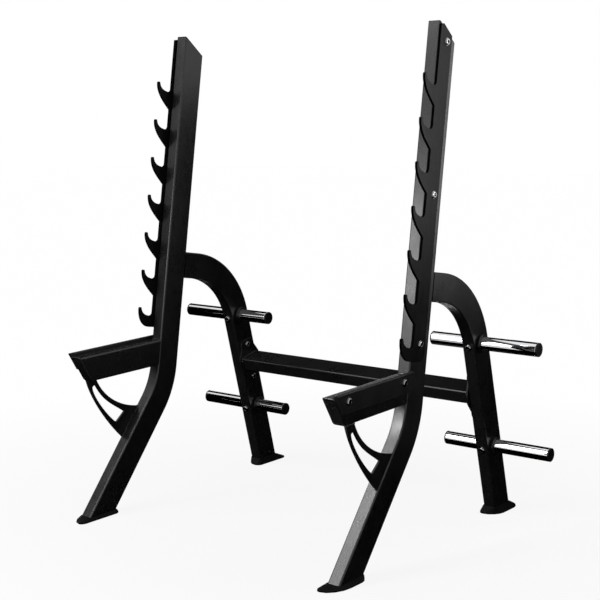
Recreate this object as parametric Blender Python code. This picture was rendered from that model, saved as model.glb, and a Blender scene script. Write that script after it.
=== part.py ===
"""Squat rack with two bent side frames, hook plates, spotter arms and plate horns.

Metres, +Z up, the user faces +Y. The origin is on the floor, under the middle of the rack.
Every piece is drawn for the right frame, at positive X, and mirrored for the left one.
"""
from math import cos, pi, radians, sin, tan

import bmesh
import bpy
from mathutils import Vector

# Clearance between pieces that touch
FIT_GAP = 0.0003

# Side frames
FRAME_SPACING = 1.170
FOOT_SPREAD = 0.996
OVERALL_HEIGHT = 1.820
TUBE_WIDTH = 0.050
TUBE_DEPTH = 0.104
TUBE_WALL = 0.003
TUBE_CORNER = 0.006
BEND_RADIUS = 0.310
FRONT_LEG_TILT = radians(39.1)
UPRIGHT_TILT = radians(8.6)
REAR_LEG_TILT = radians(14.8)
KNEE_HEIGHT = 0.450
ARCH_HEIGHT = 0.928
TOP_CUT_SLOPE = radians(38.7)
TOP_CAP_THICKNESS = 0.003

# Rubber feet
BOOT_BASE = 0.004
BOOT_LIP = 0.005
BOOT_WALL = 0.003
BOOT_INNER_SIDE = 0.012
BOOT_OUTER_SIDE = 0.018
BOOT_CORNER_PULL = 0.50
FRONT_BOOT_TOE = 0.040
FRONT_BOOT_HEEL = 0.024
FRONT_BOOT_RIM = 0.014
REAR_BOOT_TOE = 0.030
REAR_BOOT_HEEL = 0.054
REAR_BOOT_RIM = 0.028
# Width and length of the rounding at the outer back, inner back, inner front and outer front
FRONT_BOOT_CORNERS = ((0.045, 0.046), (0.022, 0.024), (0.016, 0.022), (0.060, 0.090))
REAR_BOOT_CORNERS = ((0.050, 0.050), (0.022, 0.024), (0.020, 0.022), (0.056, 0.060))

# Spotter arms
ARM_HEIGHT = 0.588
ARM_SLOPE = radians(1.2)
ARM_LENGTH = 0.424
ARM_DEPTH = 0.100
ARM_END_RAKE = radians(30)
ARM_END_THICKNESS = 0.004

# Plastic guards on the outer sides of the arms
GUARD_THICKNESS = 0.012
GUARD_DROP = 0.056
GUARD_RISE = 0.012
GUARD_EDGE = 0.005
GUARD_SETBACK = 0.004
GUARD_OVERLAP = 0.012
GUARD_CORNER = 0.026
GUARD_BOLT_DROP = 0.018
GUARD_BOLT_ENDS = (0.063, 0.378)

# Curved gusset plates under the arms
GUSSET_THICKNESS = 0.008
GUSSET_INSET = 0.002
GUSSET_TOP_FRONT = 0.361
GUSSET_TOP_BACK = 0.314
GUSSET_LEG_LOW = 0.277
GUSSET_LEG_HIGH = 0.386
NOTCH_LOW = 0.308
NOTCH_HIGH = 0.360
NOTCH_DEPTH = 0.008
# Corners of the crescent opening, measured from the nearest corner of the plate
CRESCENT_TOP_OUTER = (0.029, -0.032)
CRESCENT_TOP_INNER = (-0.002, -0.029)
CRESCENT_TIP = (0.038, -0.026)
CRESCENT_LOW_OUTER = (-0.029, 0.065)
CRESCENT_LOW_INNER = (-0.075, -0.010)
# Where the curves are pulled to, as shares of their width and height
GUSSET_OUTER_PULLS = ((0.13, 0.316), (0.59, 0.735))
GUSSET_INNER_PULLS = ((0.175, 0.631), (0.639, 0.929))
CRESCENT_OUTER_PULLS = ((0.01, 0.262), (0.73, 0.882))
CRESCENT_INNER_PULLS = ((0.312, 0.587), (0.632, 0.71))

# Hook plates
HOOK_COUNT = 7
HOOK_BELOW_TOP = 0.1887
HOOK_ABOVE_ARM = 0.1729
HOOK_REACH = 0.080
HOOK_TIP_RADIUS = 0.005
HOOK_DEPTH = 0.032
HOOK_THROAT = 0.020
HOOK_DROP = 0.100
PLATE_THICKNESS = 0.010
PLATE_PROUD = 0.006
PLATE_BACK = 0.066
PLATE_TOP_DROP = 0.004
PLATE_TOP_NOSE = 0.010
PLATE_BOTTOM_DROP = 0.077
PLATE_CORNER = 0.024
PLATE_BOLT_INSET = 0.036
PLATE_BOLT_BELOW_TOP = 0.0667
PLATE_BOLT_ABOVE_ARM = 0.1543
PLATE_BOLT_MIDDLE = 0.496
# Where the hooks' curves are pulled to, as shares of their width and height
HOOK_THROAT_PULLS = ((0.63, 0), (0.92, 0.415))
HOOK_UNDER_PULLS = ((0, 0.453), (0.67, 0.789))
HOOK_LAST_PULLS = ((0, 0.519), (0.373, 1))

# Plate horns
HORN_DIAMETER = 0.0508
HORN_WALL = 0.003
HORN_OUTER_REACH = 0.236
HORN_INNER_REACH = 0.157
HORN_HEIGHTS = (("lower", 0.272), ("upper", 0.678))
SLEEVE_WALL = 0.003
SLEEVE_COLLAR_DIAMETER = 0.068
SLEEVE_COLLAR_THICKNESS = 0.010
HORN_CAP_THICKNESS = 0.005
HORN_CAP_EDGE = 0.003
HORN_PLUG_LENGTH = 0.016

# Crossmember between the rear legs
CROSS_HEIGHT = 0.477
CROSS_DEPTH = 0.100
CROSS_THICKNESS = 0.050
FLANGE_THICKNESS = 0.008
FLANGE_HALF_LENGTH = 0.094
FLANGE_WAIST = 0.060
FLANGE_END_WIDTH = 0.040
FLANGE_SHOULDER = 0.022
FLANGE_TAPER_END = 0.062
FLANGE_BOLT_OFFSET = 0.074

# Fasteners
BOLT_DIAMETER = 0.012
BOLT_HEAD_DIAMETER = 0.023
BOLT_HEAD_HEIGHT = 0.006
SOCKET_WIDTH = 0.010
SOCKET_DEPTH = 0.004
BOLT_PROTRUSION = 0.010

# Fineness of the round shapes
BEND_STEPS = 10
ARCH_STEPS = 14
GUSSET_STEPS = 10
HOOK_STEPS = 7
CORNER_STEPS = 2
BOOT_CORNER_STEPS = 4
BOLT_SIDES = 12
HORN_SIDES = 28
RING_SIDES = 24

# Values that follow from the driving dimensions
HALF_WIDTH = TUBE_WIDTH / 2
HALF_DEPTH = TUBE_DEPTH / 2
FRAME_X = FRAME_SPACING / 2
OUTER_FACE = FRAME_X + HALF_WIDTH
INNER_FACE = FRAME_X - HALF_WIDTH
FRONT_BOOT_HALF = HALF_DEPTH / cos(FRONT_LEG_TILT)
REAR_BOOT_HALF = HALF_DEPTH / cos(REAR_LEG_TILT)
MOST_FORWARD = -FRONT_BOOT_HALF - FRONT_BOOT_TOE
MOST_BACKWARD = FOOT_SPREAD + REAR_BOOT_HALF + REAR_BOOT_HEEL
CENTRE_SHIFT = -(MOST_FORWARD + MOST_BACKWARD) / 2
BOLT_HOLE = BOLT_DIAMETER / 2 + FIT_GAP

SIDEWAYS = Vector((1, 0, 0))
UPWARDS = Vector((0, 0, 1))


def along(tilt):
    """Unit vector up a tube that leans back by tilt."""
    return Vector((0, sin(tilt), cos(tilt)))


def behind(tilt):
    """Unit vector out of the back of a tube that leans back by tilt."""
    return Vector((0, cos(tilt), -sin(tilt)))


def at(x, point):
    """The side-plane point moved to the plane at x."""
    return Vector((x, point.y, point.z))


def meeting(point_a, way_a, point_b, way_b):
    """Where two lines in the side plane cross."""
    cross = way_a.y * way_b.z - way_a.z * way_b.y
    gap = point_b - point_a
    reach = (gap.y * way_b.z - gap.z * way_b.y) / cross
    return point_a + way_a * reach


# Centre lines of a side frame
FRONT_FOOT = Vector((0, CENTRE_SHIFT, 0))
REAR_FOOT = Vector((0, CENTRE_SHIFT + FOOT_SPREAD, 0))
LEG_UP = along(FRONT_LEG_TILT)
UPRIGHT_UP = along(UPRIGHT_TILT)
UPRIGHT_BACK = behind(UPRIGHT_TILT)
REAR_UP = along(-REAR_LEG_TILT)
REAR_BACK = behind(-REAR_LEG_TILT)
KNEE = FRONT_FOOT + LEG_UP * (KNEE_HEIGHT / LEG_UP.z)
KNEE_SETBACK = BEND_RADIUS * tan((FRONT_LEG_TILT - UPRIGHT_TILT) / 2)
KNEE_CENTRE = KNEE - LEG_UP * KNEE_SETBACK - behind(FRONT_LEG_TILT) * BEND_RADIUS
ARCH_ROOT = KNEE + UPRIGHT_UP * ((ARCH_HEIGHT - KNEE_HEIGHT) / UPRIGHT_UP.z)
ARCH_CORNER = meeting(ARCH_ROOT, UPRIGHT_BACK, REAR_FOOT, REAR_UP)
FRONT_EDGE = meeting(KNEE - UPRIGHT_BACK * HALF_DEPTH, UPRIGHT_UP, Vector((0, 0, 0)), Vector((0, 1, 0)))
TOP_REACH = OVERALL_HEIGHT / UPRIGHT_UP.z
ARM_REACH = ARM_HEIGHT / UPRIGHT_UP.z
TOP_EDGE = FRONT_EDGE + UPRIGHT_UP * TOP_REACH
TOP_NORMAL = Vector((0, sin(TOP_CUT_SLOPE), cos(TOP_CUT_SLOPE)))

# Heights along the upright of the hooks' tips and of the hook plate's bolts
HOOK_TOP_TIP = TOP_REACH - HOOK_BELOW_TOP
HOOK_LOW_TIP = ARM_REACH + HOOK_ABOVE_ARM
HOOK_PITCH = (HOOK_TOP_TIP - HOOK_LOW_TIP) / (HOOK_COUNT - 1)
TOP_PLATE_BOLT = TOP_REACH - PLATE_BOLT_BELOW_TOP
LOW_PLATE_BOLT = ARM_REACH + PLATE_BOLT_ABOVE_ARM
MIDDLE_PLATE_BOLT = LOW_PLATE_BOLT + (TOP_PLATE_BOLT - LOW_PLATE_BOLT) * PLATE_BOLT_MIDDLE
PLATE_BOLT_HEIGHTS = (LOW_PLATE_BOLT, MIDDLE_PLATE_BOLT, TOP_PLATE_BOLT)


def on_upright(forward, height):
    """Side-plane point by its distance before the upright's front face and up along it."""
    return FRONT_EDGE + UPRIGHT_UP * height - UPRIGHT_BACK * forward


def on_rear_leg(height):
    """Point on the rear leg's centre line at a height above the floor."""
    return REAR_FOOT + REAR_UP * (height / REAR_UP.z)


# Centre line of a spotter arm, from its root on the upright's front face to its tip
ARM_BACK = Vector((0, cos(ARM_SLOPE), sin(ARM_SLOPE)))
ARM_UP = Vector((0, -sin(ARM_SLOPE), cos(ARM_SLOPE)))
ARM_ROOT = meeting(FRONT_EDGE, UPRIGHT_UP, Vector((0, 0, ARM_HEIGHT)), Vector((0, 1, 0)))
ARM_TOP_ROOT = meeting(FRONT_EDGE, UPRIGHT_UP, ARM_ROOT + ARM_UP * (ARM_DEPTH / 2), ARM_BACK)
ARM_TOP_TIP = ARM_TOP_ROOT - ARM_BACK * ARM_LENGTH
ARM_END_NORMAL = ARM_BACK * cos(ARM_END_RAKE) + ARM_UP * sin(ARM_END_RAKE)


def on_arm(forward, height):
    """Side-plane point by its distance before the arm's root and above its top face."""
    return ARM_TOP_ROOT - ARM_BACK * forward + ARM_UP * height


def rounded_rectangle(width, depth, radius, steps=CORNER_STEPS):
    """Outline of a rounded rectangle, as pairs across and along it."""
    outline = []
    for corner in range(4):
        turn = corner * pi / 2
        right = 1 if corner in (0, 3) else -1
        high = 1 if corner in (0, 1) else -1
        for step in range(steps + 1):
            angle = turn + step * pi / 2 / steps
            outline.append((right * (width / 2 - radius) + radius * cos(angle),
                            high * (depth / 2 - radius) + radius * sin(angle)))
    return outline


def arc(centre, radius, first, last, steps):
    """Points on an arc in a plane, both ends included, angles in radians."""
    points = []
    for step in range(steps + 1):
        angle = first + (last - first) * step / steps
        points.append((centre[0] + radius * cos(angle), centre[1] + radius * sin(angle)))
    return points


def bezier(start, pull_a, pull_b, end, steps):
    """Points on a cubic curve in a plane, both ends included."""
    points = []
    for step in range(steps + 1):
        t = step / steps
        weights = ((1 - t) ** 3, 3 * t * (1 - t) ** 2, 3 * t * t * (1 - t), t ** 3)
        points.append(tuple(sum(w * p[axis] for w, p in zip(weights, (start, pull_a, pull_b, end)))
                            for axis in (0, 1)))
    return points


def bent_path(start, corner, end, steps):
    """Stations, each a point and its direction, along two runs joined by one bend."""
    way_in = (corner - start).normalized()
    way_out = (end - corner).normalized()
    turn = way_in.angle(way_out)
    setback = BEND_RADIUS * tan(turn / 2)
    inward = (way_out - way_in * way_in.dot(way_out)).normalized()
    centre = corner - way_in * setback + inward * BEND_RADIUS
    stations = [(start, way_in)]
    for step in range(steps + 1):
        angle = turn * step / steps
        point = centre - inward * (BEND_RADIUS * cos(angle)) + way_in * (BEND_RADIUS * sin(angle))
        stations.append((point, way_in * cos(angle) + inward * sin(angle)))
    stations.append((end, way_out))
    return stations


def ring_at(station, outline, x, cut=None):
    """An outline square to a station's direction, slid along it onto a cutting plane."""
    point, way = station
    back = way.cross(SIDEWAYS)
    ring = []
    for across, depth in outline:
        spot = at(x + across, point) + back * depth
        if cut:
            spot += way * ((cut[0] - spot).dot(cut[1]) / way.dot(cut[1]))
        ring.append(spot)
    return ring


def join_rings(bm, rings, closed=False):
    """Side faces between rings of equal length; closed joins the last ring to the first."""
    loops = [[bm.verts.new(spot) for spot in ring] for ring in rings]
    pairs = list(zip(loops, loops[1:]))
    if closed:
        pairs.append((loops[-1], loops[0]))
    for low, high in pairs:
        for index in range(len(low)):
            after = (index + 1) % len(low)
            bm.faces.new((low[index], low[after], high[after], high[index]))
    return loops


def tube(stations, width, depth, start_cut, end_cut):
    """A hollow rectangular tube along the stations, cut by a plane at each end."""
    bm = bmesh.new()
    outer = rounded_rectangle(width, depth, TUBE_CORNER)
    inner = rounded_rectangle(width - 2 * TUBE_WALL, depth - 2 * TUBE_WALL, TUBE_CORNER - TUBE_WALL)
    cuts = [start_cut] + [None] * (len(stations) - 2) + [end_cut]
    skin = [ring_at(s, outer, FRAME_X, c) for s, c in zip(stations, cuts)]
    bore = [ring_at(s, inner, FRAME_X, c) for s, c in zip(stations, cuts)]
    join_rings(bm, skin + bore[::-1], closed=True)
    return bm


def slab(station, width, depth, first_cut, last_cut):
    """A solid plate with a tube's outline, between two parallel cutting planes."""
    bm = bmesh.new()
    outline = rounded_rectangle(width, depth, TUBE_CORNER)
    rings = [ring_at(station, outline, FRAME_X, cut) for cut in (first_cut, last_cut)]
    loops = join_rings(bm, rings)
    bm.faces.new(loops[0][::-1])
    bm.faces.new(loops[1])
    return bm


def plate(place, outline, holes, near, far):
    """A flat plate between two X planes, from a side outline with holes."""
    bm = bmesh.new()
    edges = []
    for loop in [outline] + holes:
        verts = [bm.verts.new(at(near, place(*point))) for point in loop]
        for index, vert in enumerate(verts):
            edges.append(bm.edges.new((vert, verts[(index + 1) % len(verts)])))
    bmesh.ops.triangle_fill(bm, edges=edges, use_beauty=True)
    grown = bmesh.ops.extrude_face_region(bm, geom=bm.faces[:])["geom"]
    moved = [item for item in grown if isinstance(item, bmesh.types.BMVert)]
    bmesh.ops.translate(bm, verts=moved, vec=(far - near, 0, 0))
    return bm


def turned(bm, base, axis, profile, sides, loop=False):
    """Turn a profile of radius, height and shape about an axis; shape six makes a hexagon."""
    side = axis.orthogonal().normalized()
    other = axis.cross(side)
    rings = []
    for radius, height, *shape in profile:
        ring = []
        for index in range(sides):
            angle = 2 * pi * index / sides
            reach = radius
            if shape:
                reach = radius / cos((angle + pi / 6) % (pi / 3) - pi / 6)
            ring.append(base + axis * height + (side * cos(angle) + other * sin(angle)) * reach)
        rings.append(ring)
    loops = join_rings(bm, rings, closed=loop)
    if not loop:
        bm.faces.new(loops[0][::-1])
        bm.faces.new(loops[-1])


def circle(centre, radius, sides=BOLT_SIDES):
    """Points of a circle in a plate's outline."""
    return arc(centre, radius, 0, 2 * pi * (sides - 1) / sides, sides - 1)


def socket_bolt(seat, axis, grip):
    """A socket-head bolt whose head sits on the seat, with the axis pointing out of the head."""
    bm = bmesh.new()
    shank = BOLT_DIAMETER / 2
    head = BOLT_HEAD_DIAMETER / 2
    edge = BOLT_HEAD_HEIGHT / 4
    profile = [(shank, -grip), (shank, FIT_GAP), (head, FIT_GAP), (head, BOLT_HEAD_HEIGHT - edge),
               (head - edge, BOLT_HEAD_HEIGHT), (SOCKET_WIDTH / 2, BOLT_HEAD_HEIGHT, 6),
               (SOCKET_WIDTH / 2, BOLT_HEAD_HEIGHT - SOCKET_DEPTH, 6)]
    turned(bm, seat, axis, profile, BOLT_SIDES)
    return bm


def make_material(name, colour, roughness, metallic=0.0):
    """A Principled material for one kind of piece."""
    material = bpy.data.materials.new(name)
    material.use_nodes = True
    shader = material.node_tree.nodes["Principled BSDF"]
    shader.inputs["Base Color"].default_value = (*colour, 1)
    shader.inputs["Roughness"].default_value = roughness
    shader.inputs["Metallic"].default_value = metallic
    return material


def finish(bm, name, material, side):
    """Turn a mesh drawn for the right frame into a named object on the wanted side."""
    if side < 0:
        bmesh.ops.scale(bm, vec=(-1, 1, 1), verts=bm.verts[:])
    bmesh.ops.recalc_face_normals(bm, faces=bm.faces[:])
    mesh = bpy.data.meshes.new(name)
    bm.to_mesh(mesh)
    bm.free()
    mesh.shade_smooth()
    mesh.set_sharp_from_angle(angle=radians(32))
    mesh.materials.append(material)
    piece = bpy.data.objects.new(name, mesh)
    bpy.context.scene.collection.objects.link(piece)
    return piece


def cut_away(piece, bm, side):
    """Cut the closed shapes in bm out of a piece."""
    cutter = finish(bm, piece.name + "_cutter", piece.data.materials[0], side)
    cutter.hide_render = True
    cutter.display_type = "WIRE"
    modifier = piece.modifiers.new("Holes", "BOOLEAN")
    modifier.operation = "DIFFERENCE"
    modifier.solver = "EXACT"
    modifier.object = cutter


def drill(bm, centre, axis, radius, depth, sides=BOLT_SIDES):
    """A drill that reaches depth to each side of the centre."""
    turned(bm, centre, axis, [(radius, -depth), (radius, depth)], sides)


def guard_bolt_spots():
    """Centres of a guard's bolts in the side plane."""
    return [on_arm(ARM_LENGTH - end, -GUARD_BOLT_DROP) for end in GUARD_BOLT_ENDS]


def plate_bolt_spots():
    """Centres of a hook plate's bolts in the side plane."""
    return [on_upright(-PLATE_BOLT_INSET, height) for height in PLATE_BOLT_HEIGHTS]


def flange_bolt_spots():
    """Centres of a crossmember flange's bolts in the side plane."""
    middle = on_rear_leg(CROSS_HEIGHT)
    return [middle + REAR_UP * way * FLANGE_BOLT_OFFSET for way in (-1, 1)]


def upright_tube():
    """The front leg and the upright, one tube with one bend."""
    top = TOP_EDGE + UPRIGHT_BACK * HALF_DEPTH
    stations = bent_path(FRONT_FOOT, KNEE, top, BEND_STEPS)
    floor = (Vector((0, 0, BOOT_BASE + FIT_GAP)), UPWARDS)
    under_cap = (TOP_EDGE - TOP_NORMAL * (TOP_CAP_THICKNESS + FIT_GAP), TOP_NORMAL)
    return tube(stations, TUBE_WIDTH, TUBE_DEPTH, floor, under_cap)


def upright_top_cap():
    """The sloping plate that closes the top of the upright."""
    station = (TOP_EDGE + UPRIGHT_BACK * HALF_DEPTH, UPRIGHT_UP)
    low = (TOP_EDGE - TOP_NORMAL * TOP_CAP_THICKNESS, TOP_NORMAL)
    high = (TOP_EDGE, TOP_NORMAL)
    return slab(station, TUBE_WIDTH, TUBE_DEPTH, low, high)


def rear_leg_tube():
    """The arch and the rear leg, one tube with one bend."""
    stations = bent_path(ARCH_ROOT + UPRIGHT_BACK * HALF_DEPTH, ARCH_CORNER, REAR_FOOT, ARCH_STEPS)
    root = (ARCH_ROOT + UPRIGHT_BACK * (HALF_DEPTH + FIT_GAP), UPRIGHT_BACK)
    floor = (Vector((0, 0, BOOT_BASE + FIT_GAP)), UPWARDS)
    return tube(stations, TUBE_WIDTH, TUBE_DEPTH, root, floor)


def spotter_arm_tube():
    """The straight tube of a spotter arm, raked at its tip."""
    centre = ARM_UP * (-ARM_DEPTH / 2)
    stations = [(ARM_TOP_TIP + centre, ARM_BACK), (ARM_TOP_ROOT + centre, ARM_BACK)]
    tip = (ARM_TOP_TIP + ARM_END_NORMAL * (ARM_END_THICKNESS + FIT_GAP), ARM_END_NORMAL)
    root = (FRONT_EDGE - UPRIGHT_BACK * FIT_GAP, UPRIGHT_BACK)
    return tube(stations, TUBE_WIDTH, ARM_DEPTH, tip, root)


def arm_end_plate():
    """The raked plate that closes the tip of a spotter arm."""
    station = (ARM_TOP_TIP + ARM_UP * (-ARM_DEPTH / 2), ARM_BACK)
    front = (ARM_TOP_TIP, ARM_END_NORMAL)
    back = (ARM_TOP_TIP + ARM_END_NORMAL * ARM_END_THICKNESS, ARM_END_NORMAL)
    return slab(station, TUBE_WIDTH, ARM_DEPTH, front, back)


def arm_guard():
    """The plastic guard on the outer side of an arm, with a rounded top edge."""
    tip = ARM_LENGTH - GUARD_SETBACK
    rake = tan(ARM_END_RAKE)
    outline = [(tip + GUARD_RISE * rake, GUARD_RISE), (tip - GUARD_DROP * rake, -GUARD_DROP)]
    heel = (-GUARD_OVERLAP + GUARD_CORNER, -GUARD_DROP + GUARD_CORNER)
    outline += arc(heel, GUARD_CORNER, -pi / 2, -pi, 4)
    outline.append((-GUARD_OVERLAP, GUARD_RISE))
    holes = [circle((ARM_LENGTH - end, -GUARD_BOLT_DROP), BOLT_HOLE) for end in GUARD_BOLT_ENDS]
    near = OUTER_FACE + FIT_GAP
    bm = plate(on_arm, outline, holes, near, near + GUARD_THICKNESS)
    top = [edge for edge in bm.edges
           if all(abs((vert.co - ARM_TOP_ROOT).dot(ARM_UP) - GUARD_RISE) < FIT_GAP for vert in edge.verts)
           and abs(edge.verts[0].co.x - edge.verts[1].co.x) < FIT_GAP]
    bmesh.ops.bevel(bm, geom=top, offset=GUARD_EDGE, segments=3, profile=0.5, affect="EDGES")
    return bm


def swept(start, end, pulls, steps):
    """A curve between two points, with its pulls as shares of its width and height."""
    pulled = [tuple(a + (b - a) * share for a, b, share in zip(start, end, pull)) for pull in pulls]
    return bezier(start, *pulled, end, steps)


def leg_front(height, forward):
    """Side-plane point at a height, forward of the leg's front face, bend included."""
    radius = BEND_RADIUS - HALF_DEPTH - forward
    if height > KNEE_CENTRE.z - radius * LEG_UP.y:
        rise = (height - KNEE_CENTRE.z) / radius
        return (KNEE_CENTRE.y + radius * (1 - rise * rise) ** 0.5, height)
    front = FRONT_FOOT - behind(FRONT_LEG_TILT) * (HALF_DEPTH + forward)
    spot = front + LEG_UP * ((height - front.z) / LEG_UP.z)
    return (spot.y, spot.z)


def gusset_plate():
    """The curved brace between an arm's underside and the leg, with a crescent opening."""
    underside = -ARM_DEPTH - FIT_GAP
    top_front = on_arm(GUSSET_TOP_FRONT, underside).yz
    top_back = on_arm(GUSSET_TOP_BACK, underside).yz
    low = leg_front(GUSSET_LEG_LOW, FIT_GAP)
    high = leg_front(GUSSET_LEG_HIGH, FIT_GAP)
    outline = swept(top_front, low, GUSSET_OUTER_PULLS, GUSSET_STEPS)
    outline += [leg_front(NOTCH_LOW, FIT_GAP), leg_front(NOTCH_LOW, NOTCH_DEPTH)]
    outline += [leg_front(NOTCH_HIGH, NOTCH_DEPTH), leg_front(NOTCH_HIGH, FIT_GAP)]
    outline += swept(top_back, high, GUSSET_INNER_PULLS, GUSSET_STEPS)[::-1]

    def beside(corner, offset):
        return (corner[0] + offset[0], corner[1] + offset[1])

    crescent = swept(beside(top_front, CRESCENT_TOP_OUTER), beside(low, CRESCENT_LOW_OUTER),
                     CRESCENT_OUTER_PULLS, GUSSET_STEPS)
    crescent += swept(beside(top_back, CRESCENT_TOP_INNER), beside(high, CRESCENT_LOW_INNER),
                      CRESCENT_INNER_PULLS, GUSSET_STEPS)[::-1]
    crescent.append(beside(top_front, CRESCENT_TIP))
    far = OUTER_FACE - GUSSET_INSET
    return plate(lambda y, z: Vector((0, y, z)), outline, [crescent], far - GUSSET_THICKNESS, far)


def hook_plate():
    """The plate on an upright's outer side, with a row of hooks along its front edge."""
    front = PLATE_PROUD
    fillet = HOOK_THROAT - front
    top_slope = tan(TOP_CUT_SLOPE - UPRIGHT_TILT)
    top_height = TOP_REACH - PLATE_TOP_DROP
    outline = [(-PLATE_BACK, top_height - PLATE_BACK * top_slope)]
    outline += [(-PLATE_TOP_NOSE, top_height - PLATE_TOP_NOSE * top_slope)]
    outline += [(front, top_height - (PLATE_TOP_NOSE + front) * top_slope)]
    for hook in range(HOOK_COUNT):
        tip = HOOK_TOP_TIP - hook * HOOK_PITCH
        throat = tip - HOOK_DEPTH
        shoulder = tip - HOOK_TIP_RADIUS
        outline += arc((HOOK_THROAT, throat + fillet), fillet, -pi, -pi / 2, 3)
        outline += swept((HOOK_THROAT, throat), (HOOK_REACH - 2 * HOOK_TIP_RADIUS, shoulder),
                         HOOK_THROAT_PULLS, HOOK_STEPS)[1:]
        outline += arc((HOOK_REACH - HOOK_TIP_RADIUS, shoulder), HOOK_TIP_RADIUS, pi, 0, 4)[1:]
        if hook < HOOK_COUNT - 1:
            end = (front, tip - HOOK_DROP)
            outline += swept((HOOK_REACH, shoulder), end, HOOK_UNDER_PULLS, HOOK_STEPS)[1:]
        else:
            end = (HOOK_THROAT, tip - PLATE_BOTTOM_DROP)
            outline += swept((HOOK_REACH, shoulder), end, HOOK_LAST_PULLS, HOOK_STEPS)[1:]
    corner = (-PLATE_BACK + PLATE_CORNER, HOOK_LOW_TIP - PLATE_BOTTOM_DROP + PLATE_CORNER)
    outline += arc(corner, PLATE_CORNER, -pi / 2, -pi, 4)
    holes = [circle((-PLATE_BOLT_INSET, height), BOLT_HOLE) for height in PLATE_BOLT_HEIGHTS]
    near = OUTER_FACE + FIT_GAP
    return plate(on_upright, outline, holes, near, near + PLATE_THICKNESS)


def sole_outline(front, back, corners):
    """Outline of a sole, as pairs across and along it, each corner with its own rounding."""
    outline = []
    for (width, length), (right, high) in zip(corners, ((1, 1), (-1, 1), (-1, -1), (1, -1))):
        side = HALF_WIDTH + (BOOT_OUTER_SIDE if right > 0 else BOOT_INNER_SIDE)
        corner = (right * side, back if high > 0 else front)
        ends = [(corner[0], corner[1] - high * length), (corner[0] - right * width, corner[1])]
        if right * high < 0:
            ends.reverse()
        pulls = [tuple(a + (b - a) * BOOT_CORNER_PULL for a, b in zip(end, corner)) for end in ends]
        outline += bezier(ends[0], *pulls, ends[1], BOOT_CORNER_STEPS)
    return outline


def boot(foot, tilt, toe, heel, rim, corners):
    """A rubber foot that sleeves the end of a leg and slopes out to a flat sole."""
    stretch = 1 / cos(tilt)
    half = HALF_DEPTH * stretch

    def tube_ring(height, grow):
        outline = rounded_rectangle(TUBE_WIDTH + 2 * grow, TUBE_DEPTH + 2 * grow, TUBE_CORNER + grow,
                                    BOOT_CORNER_STEPS)
        middle = foot.y + height * tan(tilt)
        return [Vector((FRAME_X + across, middle + depth * stretch, height)) for across, depth in outline]

    def sole_ring(height):
        outline = sole_outline(-half - toe, half + heel, corners)
        return [Vector((FRAME_X + across, foot.y + depth, height)) for across, depth in outline]

    bm = bmesh.new()
    rings = [sole_ring(0), sole_ring(BOOT_LIP), tube_ring(rim, BOOT_WALL), tube_ring(rim, FIT_GAP),
             tube_ring(BOOT_BASE, FIT_GAP)]
    loops = join_rings(bm, rings)
    bm.faces.new(loops[0][::-1])
    bm.faces.new(loops[-1])
    return bm


def horn_tube(height):
    """A chromed tube through the rear leg that carries weight plates on both sides."""
    bm = bmesh.new()
    centre = at(FRAME_X, on_rear_leg(height))
    outer = HORN_DIAMETER / 2
    inner = outer - HORN_WALL
    left = -HALF_WIDTH - HORN_INNER_REACH + HORN_CAP_THICKNESS + FIT_GAP
    right = HALF_WIDTH + HORN_OUTER_REACH - HORN_CAP_THICKNESS - FIT_GAP
    profile = [(outer, left), (outer, right), (inner, right), (inner, left)]
    turned(bm, centre, SIDEWAYS, profile, HORN_SIDES, loop=True)
    return bm


def horn_sleeve(height):
    """The sleeve through the rear leg that holds a horn, with a collar on each side."""
    bm = bmesh.new()
    centre = at(FRAME_X, on_rear_leg(height))
    bore = HORN_DIAMETER / 2 + FIT_GAP
    body = bore + SLEEVE_WALL
    collar = SLEEVE_COLLAR_DIAMETER / 2
    seat = HALF_WIDTH + FIT_GAP
    face = seat + SLEEVE_COLLAR_THICKNESS
    edge = SLEEVE_COLLAR_THICKNESS / 3
    half = [(body, seat), (collar, seat), (collar, face - edge), (collar - edge, face), (bore, face)]
    profile = [(radius, -height) for radius, height in half[::-1]] + half
    turned(bm, centre, SIDEWAYS, profile, RING_SIDES, loop=True)
    return bm


def horn_cap(height, way, reach):
    """The plug that closes one end of a horn; way is 1 on the outer side of the frame."""
    bm = bmesh.new()
    rim = HORN_DIAMETER / 2
    plug = rim - HORN_WALL - FIT_GAP
    seat = at(FRAME_X + way * (HALF_WIDTH + reach), on_rear_leg(height))
    profile = [(plug, -HORN_CAP_THICKNESS - HORN_PLUG_LENGTH), (plug, -HORN_CAP_THICKNESS),
               (rim, -HORN_CAP_THICKNESS), (rim, -HORN_CAP_EDGE), (rim - HORN_CAP_EDGE, 0)]
    turned(bm, seat, SIDEWAYS * way, profile, RING_SIDES)
    return bm


def crossmember_tube():
    """The tube between the rear legs, set square to them."""
    bm = bmesh.new()
    reach = INNER_FACE - 2 * FIT_GAP - FLANGE_THICKNESS
    middle = on_rear_leg(CROSS_HEIGHT)
    rings = []
    sizes = ((0, TUBE_CORNER), (TUBE_WALL, TUBE_CORNER - TUBE_WALL))
    for (inset, radius), ends in zip(sizes, ((-1, 1), (1, -1))):
        outline = rounded_rectangle(CROSS_DEPTH - 2 * inset, CROSS_THICKNESS - 2 * inset, radius)
        for end in ends:
            rings.append([at(end * reach, middle + REAR_BACK * a + REAR_UP * b) for a, b in outline])
    join_rings(bm, rings, closed=True)
    return bm


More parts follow.
